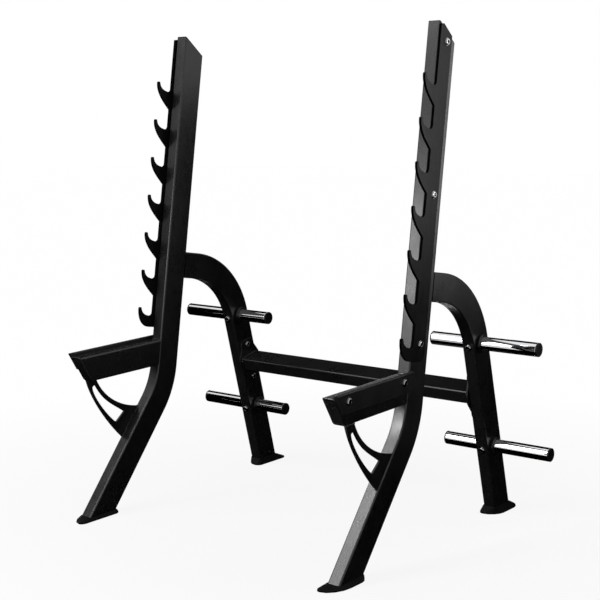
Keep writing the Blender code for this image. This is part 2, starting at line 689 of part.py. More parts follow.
def crossmember_flange():
    """The plate that bolts an end of the crossmember to the leg."""
    middle = on_rear_leg(CROSS_HEIGHT)
    quarter = [(FLANGE_WAIST, FLANGE_SHOULDER), (FLANGE_END_WIDTH, FLANGE_TAPER_END)]
    corner = FLANGE_END_WIDTH / 2
    quarter += arc((FLANGE_END_WIDTH - corner, FLANGE_HALF_LENGTH - corner), corner, 0, pi / 2, 4)
    outline = quarter + [(-a, b) for a, b in quarter[::-1]]
    outline += [(-a, -b) for a, b in quarter] + [(a, -b) for a, b in quarter[::-1]]
    holes = [circle((0, way * FLANGE_BOLT_OFFSET), BOLT_HOLE) for way in (-1, 1)]
    far = INNER_FACE - FIT_GAP
    return plate(lambda a, b: middle + REAR_BACK * a + REAR_UP * b, outline, holes,
                 far - FLANGE_THICKNESS, far)


def lock_seat(height):
    """Where a horn's lock bolt sits on the front face of the rear leg."""
    return at(FRAME_X, on_rear_leg(height) - REAR_BACK * HALF_DEPTH)


def build_bolts(name, spots, x, axis, grip, looks, side):
    """A numbered bolt at each side-plane spot, its head seated at x."""
    for number, spot in enumerate(spots, 1):
        finish(socket_bolt(at(x, spot), axis, grip), f"{name}_{number}", looks["bolt"], side)


def build_upright(side, word, looks):
    """The upright with its cap, hook plate and bolts."""
    upright = finish(upright_tube(), f"upright_tube_{word}", looks["frame"], side)
    drills = bmesh.new()
    for spot in plate_bolt_spots():
        drill(drills, at(OUTER_FACE, spot), SIDEWAYS, BOLT_HOLE, 2 * TUBE_WALL)
    cut_away(upright, drills, side)
    finish(upright_top_cap(), f"upright_top_cap_{word}", looks["frame"], side)
    finish(hook_plate(), f"hook_plate_{word}", looks["plate"], side)
    face = OUTER_FACE + FIT_GAP + PLATE_THICKNESS
    grip = face - OUTER_FACE + TUBE_WALL + BOLT_PROTRUSION
    build_bolts(f"hook_plate_bolt_{word}", plate_bolt_spots(), face, SIDEWAYS, grip, looks, side)


def build_arm(side, word, looks):
    """The spotter arm with its end plate, guard, bolts and gusset."""
    arm = finish(spotter_arm_tube(), f"spotter_arm_tube_{word}", looks["frame"], side)
    drills = bmesh.new()
    for spot in guard_bolt_spots():
        drill(drills, at(OUTER_FACE, spot), SIDEWAYS, BOLT_HOLE, 2 * TUBE_WALL)
    cut_away(arm, drills, side)
    finish(arm_end_plate(), f"spotter_arm_end_plate_{word}", looks["frame"], side)
    finish(arm_guard(), f"spotter_arm_guard_{word}", looks["plastic"], side)
    finish(gusset_plate(), f"arm_gusset_plate_{word}", looks["frame"], side)
    face = OUTER_FACE + FIT_GAP + GUARD_THICKNESS
    grip = face - OUTER_FACE + TUBE_WALL + BOLT_PROTRUSION
    build_bolts(f"guard_bolt_{word}", guard_bolt_spots(), face, SIDEWAYS, grip, looks, side)


def build_rear_leg(side, word, looks):
    """The arched rear leg with its horns and the crossmember's flange."""
    rear_leg = finish(rear_leg_tube(), f"rear_leg_tube_{word}", looks["frame"], side)
    sleeve_hole = HORN_DIAMETER / 2 + SLEEVE_WALL + 2 * FIT_GAP
    drills = bmesh.new()
    for _, height in HORN_HEIGHTS:
        drill(drills, at(FRAME_X, on_rear_leg(height)), SIDEWAYS, sleeve_hole, TUBE_WIDTH, RING_SIDES)
        drill(drills, lock_seat(height), REAR_BACK, BOLT_HOLE, 2 * TUBE_WALL)
    for spot in flange_bolt_spots():
        drill(drills, at(INNER_FACE, spot), SIDEWAYS, BOLT_HOLE, 2 * TUBE_WALL)
    cut_away(rear_leg, drills, side)

    lock_grip = HALF_DEPTH - HORN_DIAMETER / 2 + HORN_WALL
    for level, height in HORN_HEIGHTS:
        pierced = (finish(horn_tube(height), f"plate_horn_{level}_{word}", looks["chrome"], side),
                   finish(horn_sleeve(height), f"horn_sleeve_{level}_{word}", looks["plastic"], side))
        for piece in pierced:
            drills = bmesh.new()
            surface = at(FRAME_X, on_rear_leg(height) - REAR_BACK * (HORN_DIAMETER / 2))
            drill(drills, surface, REAR_BACK, BOLT_HOLE, 2 * (HORN_WALL + SLEEVE_WALL))
            cut_away(piece, drills, side)
        for place, way, reach in (("outer", 1, HORN_OUTER_REACH), ("inner", -1, HORN_INNER_REACH)):
            finish(horn_cap(height, way, reach), f"horn_cap_{level}_{place}_{word}", looks["plastic"], side)
        finish(socket_bolt(lock_seat(height), -REAR_BACK, lock_grip),
               f"horn_lock_bolt_{level}_{word}", looks["bolt"], side)

    finish(crossmember_flange(), f"crossmember_flange_{word}", looks["frame"], side)
    face = INNER_FACE - FIT_GAP - FLANGE_THICKNESS
    grip = INNER_FACE - face + TUBE_WALL + BOLT_PROTRUSION
    build_bolts(f"crossmember_bolt_{word}", flange_bolt_spots(), face, -SIDEWAYS, grip, looks, side)


def build_frame(side, word, looks):
    """All pieces of one side frame."""
    build_upright(side, word, looks)
    build_arm(side, word, looks)
    build_rear_leg(side, word, looks)
    front = boot(FRONT_FOOT, FRONT_LEG_TILT, FRONT_BOOT_TOE, FRONT_BOOT_HEEL, FRONT_BOOT_RIM,
                 FRONT_BOOT_CORNERS)
    finish(front, f"front_boot_{word}", looks["rubber"], side)
    rear = boot(REAR_FOOT, -REAR_LEG_TILT, REAR_BOOT_TOE, REAR_BOOT_HEEL, REAR_BOOT_RIM, REAR_BOOT_CORNERS)
    finish(rear, f"rear_boot_{word}", looks["rubber"], side)


def main():
    for item in list(bpy.data.objects):
        bpy.data.objects.remove(item)
    looks = {
        "frame": make_material("powder_coated_steel", (0.022, 0.022, 0.023), 0.42),
        "plate": make_material("hook_plate_steel", (0.018, 0.018, 0.019), 0.40),
        "plastic": make_material("black_plastic", (0.012, 0.012, 0.012), 0.48),
        "rubber": make_material("black_rubber", (0.016, 0.016, 0.016), 0.72),
        "chrome": make_material("polished_chrome", (0.78, 0.79, 0.80), 0.10, 1.0),
        "bolt": make_material("bright_steel", (0.62, 0.62, 0.63), 0.28, 1.0),
    }
    for side, word in ((-1, "left"), (1, "right")):
        build_frame(side, word, looks)
    finish(crossmember_tube(), "crossmember_tube", looks["frame"], 1)


main()
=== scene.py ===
# %% [markdown]
# A squat rack, dressed over its CAD model.
# The solids of the rack are loaded as a fixed frame in metres. The bent tubes, plates, horns,
# bolts and feet are then modelled over them with Blender's own tools, as one would by hand,
# and each piece gets a finish of its own. X is across the rack, -Y is the side of the hooks
# and arms, and Z is up.

# %% Load the solids
from math import atan2, cos, pi, radians, sin, sqrt, tan

import bpy
from mathutils import Matrix, Vector


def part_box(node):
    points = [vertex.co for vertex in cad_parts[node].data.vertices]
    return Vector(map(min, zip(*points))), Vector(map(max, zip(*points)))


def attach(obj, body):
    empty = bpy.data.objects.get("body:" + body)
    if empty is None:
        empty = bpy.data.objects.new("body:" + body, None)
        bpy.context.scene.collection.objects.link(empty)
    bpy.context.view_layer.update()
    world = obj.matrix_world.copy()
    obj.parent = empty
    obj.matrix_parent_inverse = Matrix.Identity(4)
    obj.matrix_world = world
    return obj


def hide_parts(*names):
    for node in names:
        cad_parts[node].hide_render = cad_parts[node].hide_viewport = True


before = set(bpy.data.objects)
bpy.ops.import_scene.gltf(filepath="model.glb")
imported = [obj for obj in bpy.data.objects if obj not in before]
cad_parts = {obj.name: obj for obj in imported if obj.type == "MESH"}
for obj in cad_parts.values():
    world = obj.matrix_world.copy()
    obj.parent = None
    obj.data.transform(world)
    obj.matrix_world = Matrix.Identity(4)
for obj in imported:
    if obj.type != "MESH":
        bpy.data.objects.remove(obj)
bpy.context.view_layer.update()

# %% [markdown]
# The camera comes first, so that any piece can be looked at as soon as it is made.
# A camera can be placed by eye, by a target to track, or by its axes. Its axes are used here:
# they were worked out from the lines of the uprights and the crossmember in the photograph,
# and they keep the uprights as steep as they are there.

# %% Camera
camera = bpy.data.objects.new("camera", bpy.data.cameras.new("camera"))
bpy.context.scene.collection.objects.link(camera)
RIGHTWARDS = Vector((0.78346, 0.6214, -0.00741))
SKYWARDS = Vector((-0.08179, 0.11492, 0.99))
TOWARDS_US = Vector((0.61604, -0.77502, 0.14086))
CAMERA_SPOT = (2.9174, -3.6493, 1.4889)
LENS, SENSOR = 75.6, 36
place = Matrix((RIGHTWARDS, SKYWARDS, TOWARDS_US)).transposed().to_4x4()
place.translation = CAMERA_SPOT
camera.matrix_world = place
camera.data.lens, camera.data.sensor_width = LENS, SENSOR
bpy.context.scene.camera = camera
bpy.context.scene.view_settings.view_transform = "Standard"
print("camera at", [round(value, 3) for value in place.translation])

# %% [markdown]
# The side frames are drawn in the plane of their centre lines, from a few points and angles:
# the front foot, the knee, the place where the arch leaves the upright, and the rear foot.
# Typing each corner of each tube would work too, but then a bend would no longer follow
# from its tilts. These are the same lengths as in the solids, in metres. Pieces that touch on
# the real rack stand a hair apart here, by the gap.

# %% Lines of a side frame
FRAME_X = 0.585
RACK_HEIGHT, KNEE_HEIGHT, ARCH_HEIGHT, ARM_HEIGHT = 1.820, 0.450, 0.928, 0.588
TUBE_WIDTH, TUBE_DEPTH, TUBE_CORNER = 0.050, 0.104, 0.006
BEND_RADIUS = 0.310
GAP = 0.0003
OUTER_FACE, INNER_FACE = FRAME_X + TUBE_WIDTH / 2, FRAME_X - TUBE_WIDTH / 2
HALF_DEPTH = TUBE_DEPTH / 2
ACROSS, LEVEL_BACK, UP = Vector((1, 0, 0)), Vector((0, 1, 0)), Vector((0, 0, 1))


def along(tilt):
    """Unit vector up a tube that leans back by tilt."""
    return Vector((0, sin(tilt), cos(tilt)))


def behind(tilt):
    """Unit vector out of the back of that tube."""
    return Vector((0, cos(tilt), -sin(tilt)))


def meeting(point_a, way_a, point_b, way_b):
    """Where two lines in the side plane cross."""
    cross = way_a.y * way_b.z - way_a.z * way_b.y
    gap = point_b - point_a
    return point_a + way_a * ((gap.y * way_b.z - gap.z * way_b.y) / cross)


LEG_TILT, UPRIGHT_TILT, REAR_TILT = radians(39.1), radians(8.6), radians(-14.8)
LEG_UP, UPRIGHT_UP, REAR_UP = along(LEG_TILT), along(UPRIGHT_TILT), along(REAR_TILT)
LEG_BACK, UPRIGHT_BACK, REAR_BACK = behind(LEG_TILT), behind(UPRIGHT_TILT), behind(REAR_TILT)
FRONT_FOOT = Vector((FRAME_X, -0.49839, 0))
REAR_FOOT = Vector((FRAME_X, 0.49761, 0))
KNEE = FRONT_FOOT + LEG_UP * (KNEE_HEIGHT / LEG_UP.z)
ARCH_ROOT = KNEE + UPRIGHT_UP * ((ARCH_HEIGHT - KNEE_HEIGHT) / UPRIGHT_UP.z)
ARCH_CORNER = meeting(ARCH_ROOT, UPRIGHT_BACK, REAR_FOOT, REAR_UP)
FRONT_EDGE = meeting(KNEE - UPRIGHT_BACK * HALF_DEPTH, UPRIGHT_UP, ACROSS * FRAME_X, LEVEL_BACK)
TOP_REACH = RACK_HEIGHT / UPRIGHT_UP.z
ARM_REACH = ARM_HEIGHT / UPRIGHT_UP.z
TOP_EDGE = FRONT_EDGE + UPRIGHT_UP * TOP_REACH
TOP_SLOPE = radians(38.7)
TOP_NORMAL = along(TOP_SLOPE)
print("top front edge", [round(value, 4) for value in TOP_EDGE])


def on_upright(forward, height):
    """Point ahead of the upright's front face by forward, and up along it by height."""
    return FRONT_EDGE + UPRIGHT_UP * height - UPRIGHT_BACK * forward


def on_rear_leg(height):
    """Point on the rear leg's centre line at a height above the floor."""
    return REAR_FOOT + REAR_UP * (height / REAR_UP.z)


# %% [markdown]
# Most modelling steps need the same few moves: select one thing and nothing else, pick edges
# or faces by where they lie, put an object's place into its mesh, merge doubles. They are kept
# in small helpers, because an operator acts on all that is selected, and a stray selection is
# the usual way to spoil a neighbour.

# %% Selecting, settling and cleaning
def leave_all():
    """Deselect every object."""
    bpy.ops.object.select_all(action="DESELECT")


def pick(piece):
    """Select one object alone and make it the active one."""
    leave_all()
    piece.select_set(True)
    bpy.context.view_layer.objects.active = piece


def edit(piece, select="SELECT"):
    """Open a piece in edit mode with all of it selected, or none of it."""
    pick(piece)
    bpy.ops.object.mode_set(mode="EDIT")
    bpy.ops.mesh.select_mode(type="VERT")
    bpy.ops.mesh.select_all(action=select)


def done():
    """Back to object mode."""
    bpy.ops.object.mode_set(mode="OBJECT")


def edit_chosen(piece, kind, chosen):
    """Open a piece in edit mode with only those edges or faces selected that pass a test."""
    edit(piece, "DESELECT")
    done()
    for item in piece.data.edges if kind == "EDGE" else piece.data.polygons:
        item.select = chosen(item)
    pick(piece)
    bpy.ops.object.mode_set(mode="EDIT")
    bpy.ops.mesh.select_mode(type=kind)


def settle(piece):
    """Move a piece's place, turn and scale into its mesh."""
    pick(piece)
    bpy.ops.object.transform_apply(location=True, rotation=True, scale=True)


def tidy_mesh(piece, near=0.00002):
    """Merge doubles and point all faces outwards."""
    edit(piece)
    bpy.ops.mesh.remove_doubles(threshold=near)
    bpy.ops.mesh.normals_make_consistent(inside=False)
    done()


def added(name):
    """Name the primitive that was just added."""
    piece = bpy.context.object
    piece.name = name
    piece.data.name = name
    return piece


def own_copy(piece, name):
    """A copy of a piece with a mesh of its own."""
    copy = piece.copy()
    copy.data = piece.data.copy()
    copy.name = name
    copy.data.name = name
    bpy.context.scene.collection.objects.link(copy)
    return copy


def apply_modifier(piece, kind, **settings):
    """Add one modifier, set it and apply it."""
    pick(piece)
    modifier = piece.modifiers.new(kind.title(), kind)
    for key, value in settings.items():
        setattr(modifier, key, value)
    bpy.ops.object.modifier_apply(modifier=modifier.name)


def soften(piece, width, segments=3, angle=40):
    """Round a piece's sharp edges."""
    apply_modifier(piece, "BEVEL", width=width, segments=segments, limit_method="ANGLE",
                   angle_limit=radians(angle), harden_normals=False)


def smooth(piece, angle=40):
    """Smooth shading, with large flat faces kept flat."""
    pick(piece)
    bpy.ops.object.shade_smooth_by_angle(angle=radians(angle))
    apply_modifier(piece, "WEIGHTED_NORMAL", keep_sharp=True)


def check_place(piece, node):
    """Print how far a piece's box is from its CAD node's, in millimetres."""
    spots = [Vector(corner) for corner in piece.bound_box]
    low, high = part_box(node)
    off = [1000 * (min(spot[axis] for spot in spots) - low[axis]) for axis in range(3)]
    off += [1000 * (max(spot[axis] for spot in spots) - high[axis]) for axis in range(3)]
    print(piece.name, "against", node, "mm", [round(value, 1) for value in off],
          "faces", len(piece.data.polygons))


# %% [markdown]
# Shader maths reads best as sums, so one small class wraps a socket and lets Python's own
# operators add the Math nodes. A second one adds every other node by one method, with its
# settings made first and its sockets filled or linked after. A finish is a Principled material
# that is written with the two.

# %% Writing shader sums
class Wire:
    """A shader value that takes part in Python sums."""

    def __init__(self, nodes, socket):
        self.nodes, self.socket = nodes, socket

    def sum_of(self, operation, *values):
        return self.nodes.node("Math", {"operation": operation}, dict(enumerate(values)))

    def __add__(self, other):
        return self.sum_of("ADD", self, other)

    __radd__ = __add__

    def __mul__(self, other):
        return self.sum_of("MULTIPLY", self, other)

    __rmul__ = __mul__

    def __sub__(self, other):
        return self.sum_of("SUBTRACT", self, other)

    def __rsub__(self, other):
        return self.sum_of("SUBTRACT", other, self)

    def __abs__(self):
        return self.sum_of("ABSOLUTE", self)


class Nodes:
    """A tree of shader nodes, and the ways to add to it."""

    def __init__(self, tree):
        self.tree = tree

    def node(self, kind, settings=None, inputs=None, output=0):
        """Add a node: first its settings, then the values or links of its sockets."""
        made = self.tree.nodes.new("ShaderNode" + kind)
        for key, value in (settings or {}).items():
            setattr(made, key, value)
        for key, value in (inputs or {}).items():
            self.feed(made.inputs[key], value)
        return Wire(self, made.outputs[output])

    def feed(self, socket, value):
        """Link a socket, or set its value."""
        if isinstance(value, Wire):
            self.tree.links.new(value.socket, socket)
        else:
            socket.default_value = value

    def ramp(self, value, low, high, dark=0.0, light=1.0):
        """Stretch a value from the range low to high onto the range dark to light."""
        inputs = {"Value": value, "From Min": low, "From Max": high, "To Min": dark, "To Max": light}
        return self.node("MapRange", None, inputs)

    def seen(self):
        """1 where the camera looks, or a reflection, or a look through glass; 0 for light."""
        kinds = ("Is Camera Ray", "Is Glossy Ray", "Is Transmission Ray")
        camera_ray, glossy_ray, clear_ray = [self.node("LightPath", output=kind) for kind in kinds]
        return camera_ray + glossy_ray + clear_ray


class Finish(Nodes):
    """A Principled material and the ways to feed it."""

    def __init__(self, name, roughness, metallic=0.0, specular=0.5):
        self.material = bpy.data.materials.new(name)
        self.material.use_nodes = True
        super().__init__(self.material.node_tree)
        self.shader = self.tree.nodes["Principled BSDF"]
        self.give("Roughness", roughness)
        self.give("Metallic", metallic)
        self.give("Specular IOR Level", specular)

    def give(self, name, value):
        """Feed one socket of the Principled shader."""
        self.feed(self.shader.inputs[name], value)

    def cover(self, share, lower, upper):
        """Show one shader over another, by a share."""
        mixed = self.node("MixShader", None, {0: share, 1: lower, 2: upper})
        self.feed(self.tree.nodes["Material Output"].inputs["Surface"], mixed)

    def place(self, scale=(1, 1, 1)):
        """The place on the piece, in metres, drawn out or squeezed along an axis."""
        spot = self.node("TexCoord", output="Object")
        return self.node("Mapping", None, {"Vector": spot, "Scale": scale})

    def noise(self, scale, detail=3.0, rough=0.5, stretch=(1, 1, 1)):
        """Cloudy noise, with scale cells to the metre."""
        inputs = {"Vector": self.place(stretch), "Scale": scale, "Detail": detail, "Roughness": rough}
        return self.node("TexNoise", None, inputs)

    def blend_into(self, share, colour, other):
        """Mix a colour into one that other nodes made."""
        return self.node("Mix", {"data_type": "RGBA"}, {0: share, 6: colour, 7: (*other, 1)}, 2)

    def blend(self, share, one, other):
        """Mix two plain colours."""
        return self.blend_into(share, (*one, 1), other)

    def facing(self, axis):
        """1 where a face looks along an axis, either way, and 0 where it lies along it."""
        normal = self.node("TexCoord", output="Normal")
        return abs(self.node("SeparateXYZ", None, {0: normal}, axis))

    def height(self):
        """Height above the floor."""
        return self.node("SeparateXYZ", None, {0: self.node("TexCoord", output="Object")}, "Z")

    def bump(self, height, distance):
        """A bump of a real depth in metres."""
        return self.node("Bump", None, {"Height": height, "Distance": distance, "Strength": 1.0})


print("shader helpers ready")

# %% [markdown]
# The rack is powder coated: a satin black skin about a tenth of a millimetre thick, which melts
# into a fine orange peel, a little glossier where it is thin over an edge. A flat black would
# look like a hole in the picture. Noise at millimetre size drives a bump, slow noise and a
# mottle of a few centimetres move the colour and the gloss, and the coat is thinner, so lighter,
# where a corner sticks out. The hook plates have a duller coat with a stronger mottle, and their
# cut edges, which face forward or back, are covered by painted shade: a matt, nearly black shader.

# %% Powder coat
PEEL_SIZE, PEEL_DEPTH = 0.0011, 0.00005


def powder_coat(name, dark, light, gloss, specular=0.5, paint_edge_shade=False):
    finish = Finish(name, gloss, 0.0, specular)
    grain = finish.noise(1 / PEEL_SIZE, 2.0, 0.45)
    drift = finish.noise(9.0, 2.0, 0.5)
    mottle = finish.noise(48.0, 5.0, 0.7, (1, 1, 0.45))
    specks = finish.ramp(finish.noise(520.0, 1.0), 0.70, 0.78)
    corner = finish.ramp(finish.node("NewGeometry", output="Pointiness"), 0.515, 0.56)
    share = finish.ramp(drift, 0.3, 0.7) * 0.35 + finish.ramp(mottle, 0.36, 0.64) * 0.65
    colour = finish.blend(share, dark, light)
    worn = tuple(2.0 * part for part in light)
    shine = finish.ramp(drift, 0.25, 0.75, gloss - 0.035, gloss + 0.035)
    shine = shine + grain * 0.03 - corner * 0.05 + finish.ramp(mottle, 0.3, 0.7, -0.016, 0.016)
    if paint_edge_shade:
        # Painted shade: faces that do not look along X, the plate's cut edges, get a nearly black matt
        # shader.
        cut = finish.ramp(finish.facing(0), 0.45, 0.25)
        painted_edge_shade = finish.node("BsdfDiffuse", None, {"Color": (*(0.7 * part for part in dark), 1)})
        finish.cover(cut * 0.97, Wire(finish, finish.shader.outputs["BSDF"]), painted_edge_shade)
    finish.give("Base Color", finish.blend_into(corner * 0.45 + specks * 0.10, colour, worn))
    finish.give("Roughness", shine)
    finish.give("Normal", finish.bump(grain * 0.85 + drift * 0.15, PEEL_DEPTH))
    return finish.material


coat = powder_coat("satin_black_powder_coat", (0.0034, 0.0034, 0.0036), (0.0080, 0.0080, 0.0083), 0.30)
plate_coat = powder_coat("hook_plate_powder_coat", (0.0022, 0.0022, 0.0024), (0.0112, 0.0112, 0.0116),
                         0.31, 0.07, paint_edge_shade=True)
print("coats", coat.name, plate_coat.name)

# %% [markdown]
# The horns are chromed tube, polished round and round, so the scratches of the polishing and of
# the plates that slide on them run in rings. Stretched noise does this: it is squeezed along
# the horn and drawn out around it, and it moves the gloss far more than the colour. The bolts
# are plated, bright on the hook plates and darker elsewhere, with a fine turned grain, and
# an attribute on their faces says which lie in the socket, where painted shade makes them dark.

# %% Chrome and plated steel
def chrome_plate():
    finish = Finish("polished_chrome_plate", 0.07, 1.0)
    rings = finish.noise(90.0, 4.0, 0.65, (22, 0.6, 0.6))
    smear = finish.noise(16.0, 3.0, 0.6)
    clean, hazy = (0.80, 0.81, 0.83), (0.70, 0.71, 0.73)
    finish.give("Base Color", finish.blend(finish.ramp(smear, 0.3, 0.75), clean, hazy))
    scuffs = finish.ramp(rings, 0.35, 0.75, 0.035, 0.055)
    finish.give("Roughness", scuffs + finish.ramp(smear, 0.45, 0.8, 0.0, 0.02))
    return finish.material


def bolt_steel(name, light, dull):
    finish = Finish(name, 0.12, 1.0)
    marks = finish.noise(700.0, 3.0, 0.6)
    cloud = finish.noise(60.0, 2.0, 0.5)
    inside = finish.node("Attribute", {"attribute_name": "socket_shade"}, None, "Fac")
    colour = finish.blend(finish.ramp(cloud, 0.3, 0.7), light, dull)
    # Painted shade: faces in the socket get a near-black colour.
    finish.give("Base Color", finish.blend_into(inside, colour, (0.010, 0.010, 0.010)))
    finish.give("Roughness", finish.ramp(marks, 0.3, 0.7, 0.08, 0.15))
    finish.give("Normal", finish.bump(marks, 0.00002))
    return finish.material


chrome = chrome_plate()
bright = bolt_steel("bright_plated_steel", (0.62, 0.62, 0.63), (0.50, 0.50, 0.51))
darker_steel = bolt_steel("darker_plated_steel", (0.42, 0.42, 0.425), (0.32, 0.32, 0.324))
print("metals", chrome.name, bright.name, darker_steel.name)

# %% [markdown]
# Guards, collars and plugs are moulded plastic with the fine spark-eroded grain of the mould,
# and the feet are rubber, duller and with a bloom of dust at the floor. Both are nearly black,
# so the eye tells them apart by gloss and grain, and those are what the nodes differ in most.

# %% Plastic and rubber
def moulded_plastic():
    finish = Finish("moulded_black_plastic", 0.38, 0.0, 0.32)
    cells = finish.node("TexVoronoi", None, {"Vector": finish.place(), "Scale": 1400.0})
    flow = finish.noise(14.0, 3.0, 0.55, (1, 1, 0.3))
    dark, light = (0.0045, 0.0045, 0.0047), (0.0070, 0.0070, 0.0072)
    finish.give("Base Color", finish.blend(finish.ramp(flow, 0.3, 0.7), dark, light))
    finish.give("Roughness", finish.ramp(flow, 0.25, 0.75, 0.34, 0.42))
    finish.give("Normal", finish.bump(cells, 0.00005))
    return finish.material


def foot_rubber():
    finish = Finish("moulded_black_rubber", 0.62, 0.0, 0.10)
    grain = finish.noise(900.0, 3.0, 0.6)
    cloud = finish.noise(35.0, 3.0, 0.6)
    dust = finish.ramp(finish.height(), 0.006, 0.0, 0.0, 0.35) * finish.ramp(cloud, 0.4, 0.65)
    dark, light = (0.0008, 0.0008, 0.0008), (0.0022, 0.0022, 0.0021)
    colour = finish.blend(finish.ramp(cloud, 0.3, 0.7), dark, light)
    finish.give("Base Color", finish.blend_into(dust, colour, (0.010, 0.0097, 0.0092)))
    finish.give("Roughness", finish.ramp(grain, 0.3, 0.7, 0.56, 0.68))
    finish.give("Normal", finish.bump(grain, 0.00012))
    return finish.material


plastic, rubber = moulded_plastic(), foot_rubber()
print("moulded", plastic.name, rubber.name)

# %% [markdown]
# Every piece of the right-hand frame has a twin on the left. A mirror modifier across X would
# keep the two in one mesh, but they are two pieces of steel, so the twin is a copy of its own
# with a negative scale. That turns the mesh inside out, so its normals are worked out again.

# %% Fitting a piece on both sides
def fit(piece, material, nodes=()):
    """Give a finished piece its material, and let it stand for its CAD nodes."""
    smooth(piece)
    piece.data.materials.clear()
    piece.data.materials.append(material)
    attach(piece, "root")
    if nodes:
        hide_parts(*nodes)


def fit_both(piece, slot, material, *nodes):
    """Fit a right-hand piece and its mirrored twin; each node name has a place for the side."""
    stem = piece.name
    twin = own_copy(piece, stem + "_left")
    twin.scale.x = -1
    settle(twin)
    tidy_mesh(twin)
    piece.name = stem + "_right"
    for copy, side in ((piece, "right"), (twin, "left")):
        fit(copy, material, [node.format(side=side) for node in nodes])
    if nodes:
        check_place(piece, nodes[0].format(side="right"))
    return piece, twin


# %% [markdown]
# A bent box tube is a rounded rectangle pushed along a line. Here it is drawn as on a tube
# bender: the flat section is added square to the tube, pulled out straight by extrude, turned
# round the bend's centre by spin, and pulled straight again. A curve with a bevel object would
# do too, but spin gives a true arc with even rings, and bisect then cuts both ends as a saw does.
# So each tube is first made a little too long at both ends.

# %% Bent tubes
SPARE = 0.1
BEND_RINGS = 28


def section(name, centre, way, width, depth, corner):
    """The rounded rectangle of a tube, added square to its direction."""
    leave_all()
    bpy.ops.mesh.primitive_plane_add(size=1, location=centre, rotation=(atan2(-way.y, way.z), 0, 0))
    piece = added(name)
    piece.scale = (width, depth, 1)
    settle(piece)
    edit(piece)
    bpy.ops.mesh.bevel(offset=corner, segments=5, affect="VERTICES")
    bpy.ops.mesh.select_all(action="SELECT")
    return piece


def pull(move):
    """Extrude what is selected."""
    bpy.ops.mesh.extrude_region_move(TRANSFORM_OT_translate={"value": move})


def saw(point, normal, keep_below=True):
    """Cut the open mesh by a plane and close the cut."""
    bpy.ops.mesh.select_all(action="SELECT")
    bpy.ops.mesh.bisect(plane_co=point, plane_no=normal, use_fill=True,
                        clear_outer=keep_below, clear_inner=not keep_below)


def bent_tube(name, start, corner, end, first_cut, last_cut):
    """A box tube along two runs and one bend, sawn at both ends."""
    way_in, way_out = (corner - start).normalized(), (end - corner).normalized()
    turn = way_in.angle(way_out)
    setback = BEND_RADIUS * tan(turn / 2)
    inward = (way_out - way_in * way_in.dot(way_out)).normalized()
    centre = corner - way_in * setback + inward * BEND_RADIUS
    turning = -1 if way_in.cross(way_out).x > 0 else 1
    piece = section(name, start - way_in * SPARE, way_in, TUBE_WIDTH, TUBE_DEPTH, TUBE_CORNER)
    pull(corner - way_in * setback - start + way_in * SPARE)
    bpy.ops.mesh.spin(steps=BEND_RINGS, angle=turn * turning, center=centre, axis=ACROSS)
    pull(end + way_out * SPARE - corner - way_out * setback)
    saw(*first_cut)
    saw(*last_cut)
    done()
    tidy_mesh(piece)
    print(name, "bend of", round(turn * 180 / pi, 1), "degrees")
    return piece


SOLE_THICKNESS, CAP_THICKNESS = 0.004, 0.003
FLOOR_CUT = (UP * (SOLE_THICKNESS + GAP), -UP)
top_middle = TOP_EDGE + UPRIGHT_BACK * HALF_DEPTH
upright = bent_tube("front_upright", FRONT_FOOT, KNEE, top_middle, FLOOR_CUT,
                    (TOP_EDGE - TOP_NORMAL * (CAP_THICKNESS + GAP), TOP_NORMAL))
fit_both(upright, "powder_coated_steel", coat, "upright_tube_{side}")

arch_start = ARCH_ROOT + UPRIGHT_BACK * HALF_DEPTH
rear_leg = bent_tube("arched_rear_leg", arch_start, ARCH_CORNER, REAR_FOOT,
                     (arch_start + UPRIGHT_BACK * GAP, -UPRIGHT_BACK), FLOOR_CUT)
fit_both(rear_leg, "powder_coated_steel", coat, "rear_leg_tube_{side}")

# %% [markdown]
# The top of each upright is sawn on a slope and closed by a thin plate that is welded on and
# ground flush. It could be a face of the tube, but the plate's edge and its soft corner catch
# the light, so it is a slice of its own: a straight length of the same section, sawn twice.

# %% Upright caps
cap = section("upright_cap", top_middle - UPRIGHT_UP * (2 * SPARE), UPRIGHT_UP, TUBE_WIDTH, TUBE_DEPTH,
              TUBE_CORNER)
pull(UPRIGHT_UP * (4 * SPARE))
saw(TOP_EDGE, TOP_NORMAL)
saw(TOP_EDGE - TOP_NORMAL * CAP_THICKNESS, TOP_NORMAL, keep_below=False)
done()
tidy_mesh(cap)
soften(cap, 0.0008, 3)
fit_both(cap, "powder_coated_steel", coat, "upright_top_cap_{side}")

# %% [markdown]
# The spotter arm is a short straight tube, nearly level, with rounder corners than the legs'
# and a raked end that a small plate closes. Both are slices of one section, pulled along the
# arm and sawn: the tube on the slope of the upright at its root and on the rake at its tip.
# The plate has a chamfer all round, which catches the light as a thin line.

# %% Spotter arms
ARM_DROOP, RAKE = radians(1.2), radians(30)
ARM_BACK = Vector((0, cos(ARM_DROOP), sin(ARM_DROOP)))
ARM_UP = Vector((0, -sin(ARM_DROOP), cos(ARM_DROOP)))
ARM_LENGTH, ARM_DEPTH, ARM_CORNER, NOSE_THICKNESS = 0.424, 0.100, 0.008, 0.004
arm_root = meeting(FRONT_EDGE, UPRIGHT_UP, UP * ARM_HEIGHT + ACROSS * FRAME_X, LEVEL_BACK)
ARM_TOP_ROOT = meeting(FRONT_EDGE, UPRIGHT_UP, arm_root + ARM_UP * (ARM_DEPTH / 2), ARM_BACK)
ARM_TOP_TIP = ARM_TOP_ROOT - ARM_BACK * ARM_LENGTH
RAKE_NORMAL = ARM_BACK * cos(RAKE) + ARM_UP * sin(RAKE)


def on_arm(forward, height):
    """Point ahead of the arm's root by forward, and above its top face by height."""
    return ARM_TOP_ROOT - ARM_BACK * forward + ARM_UP * height


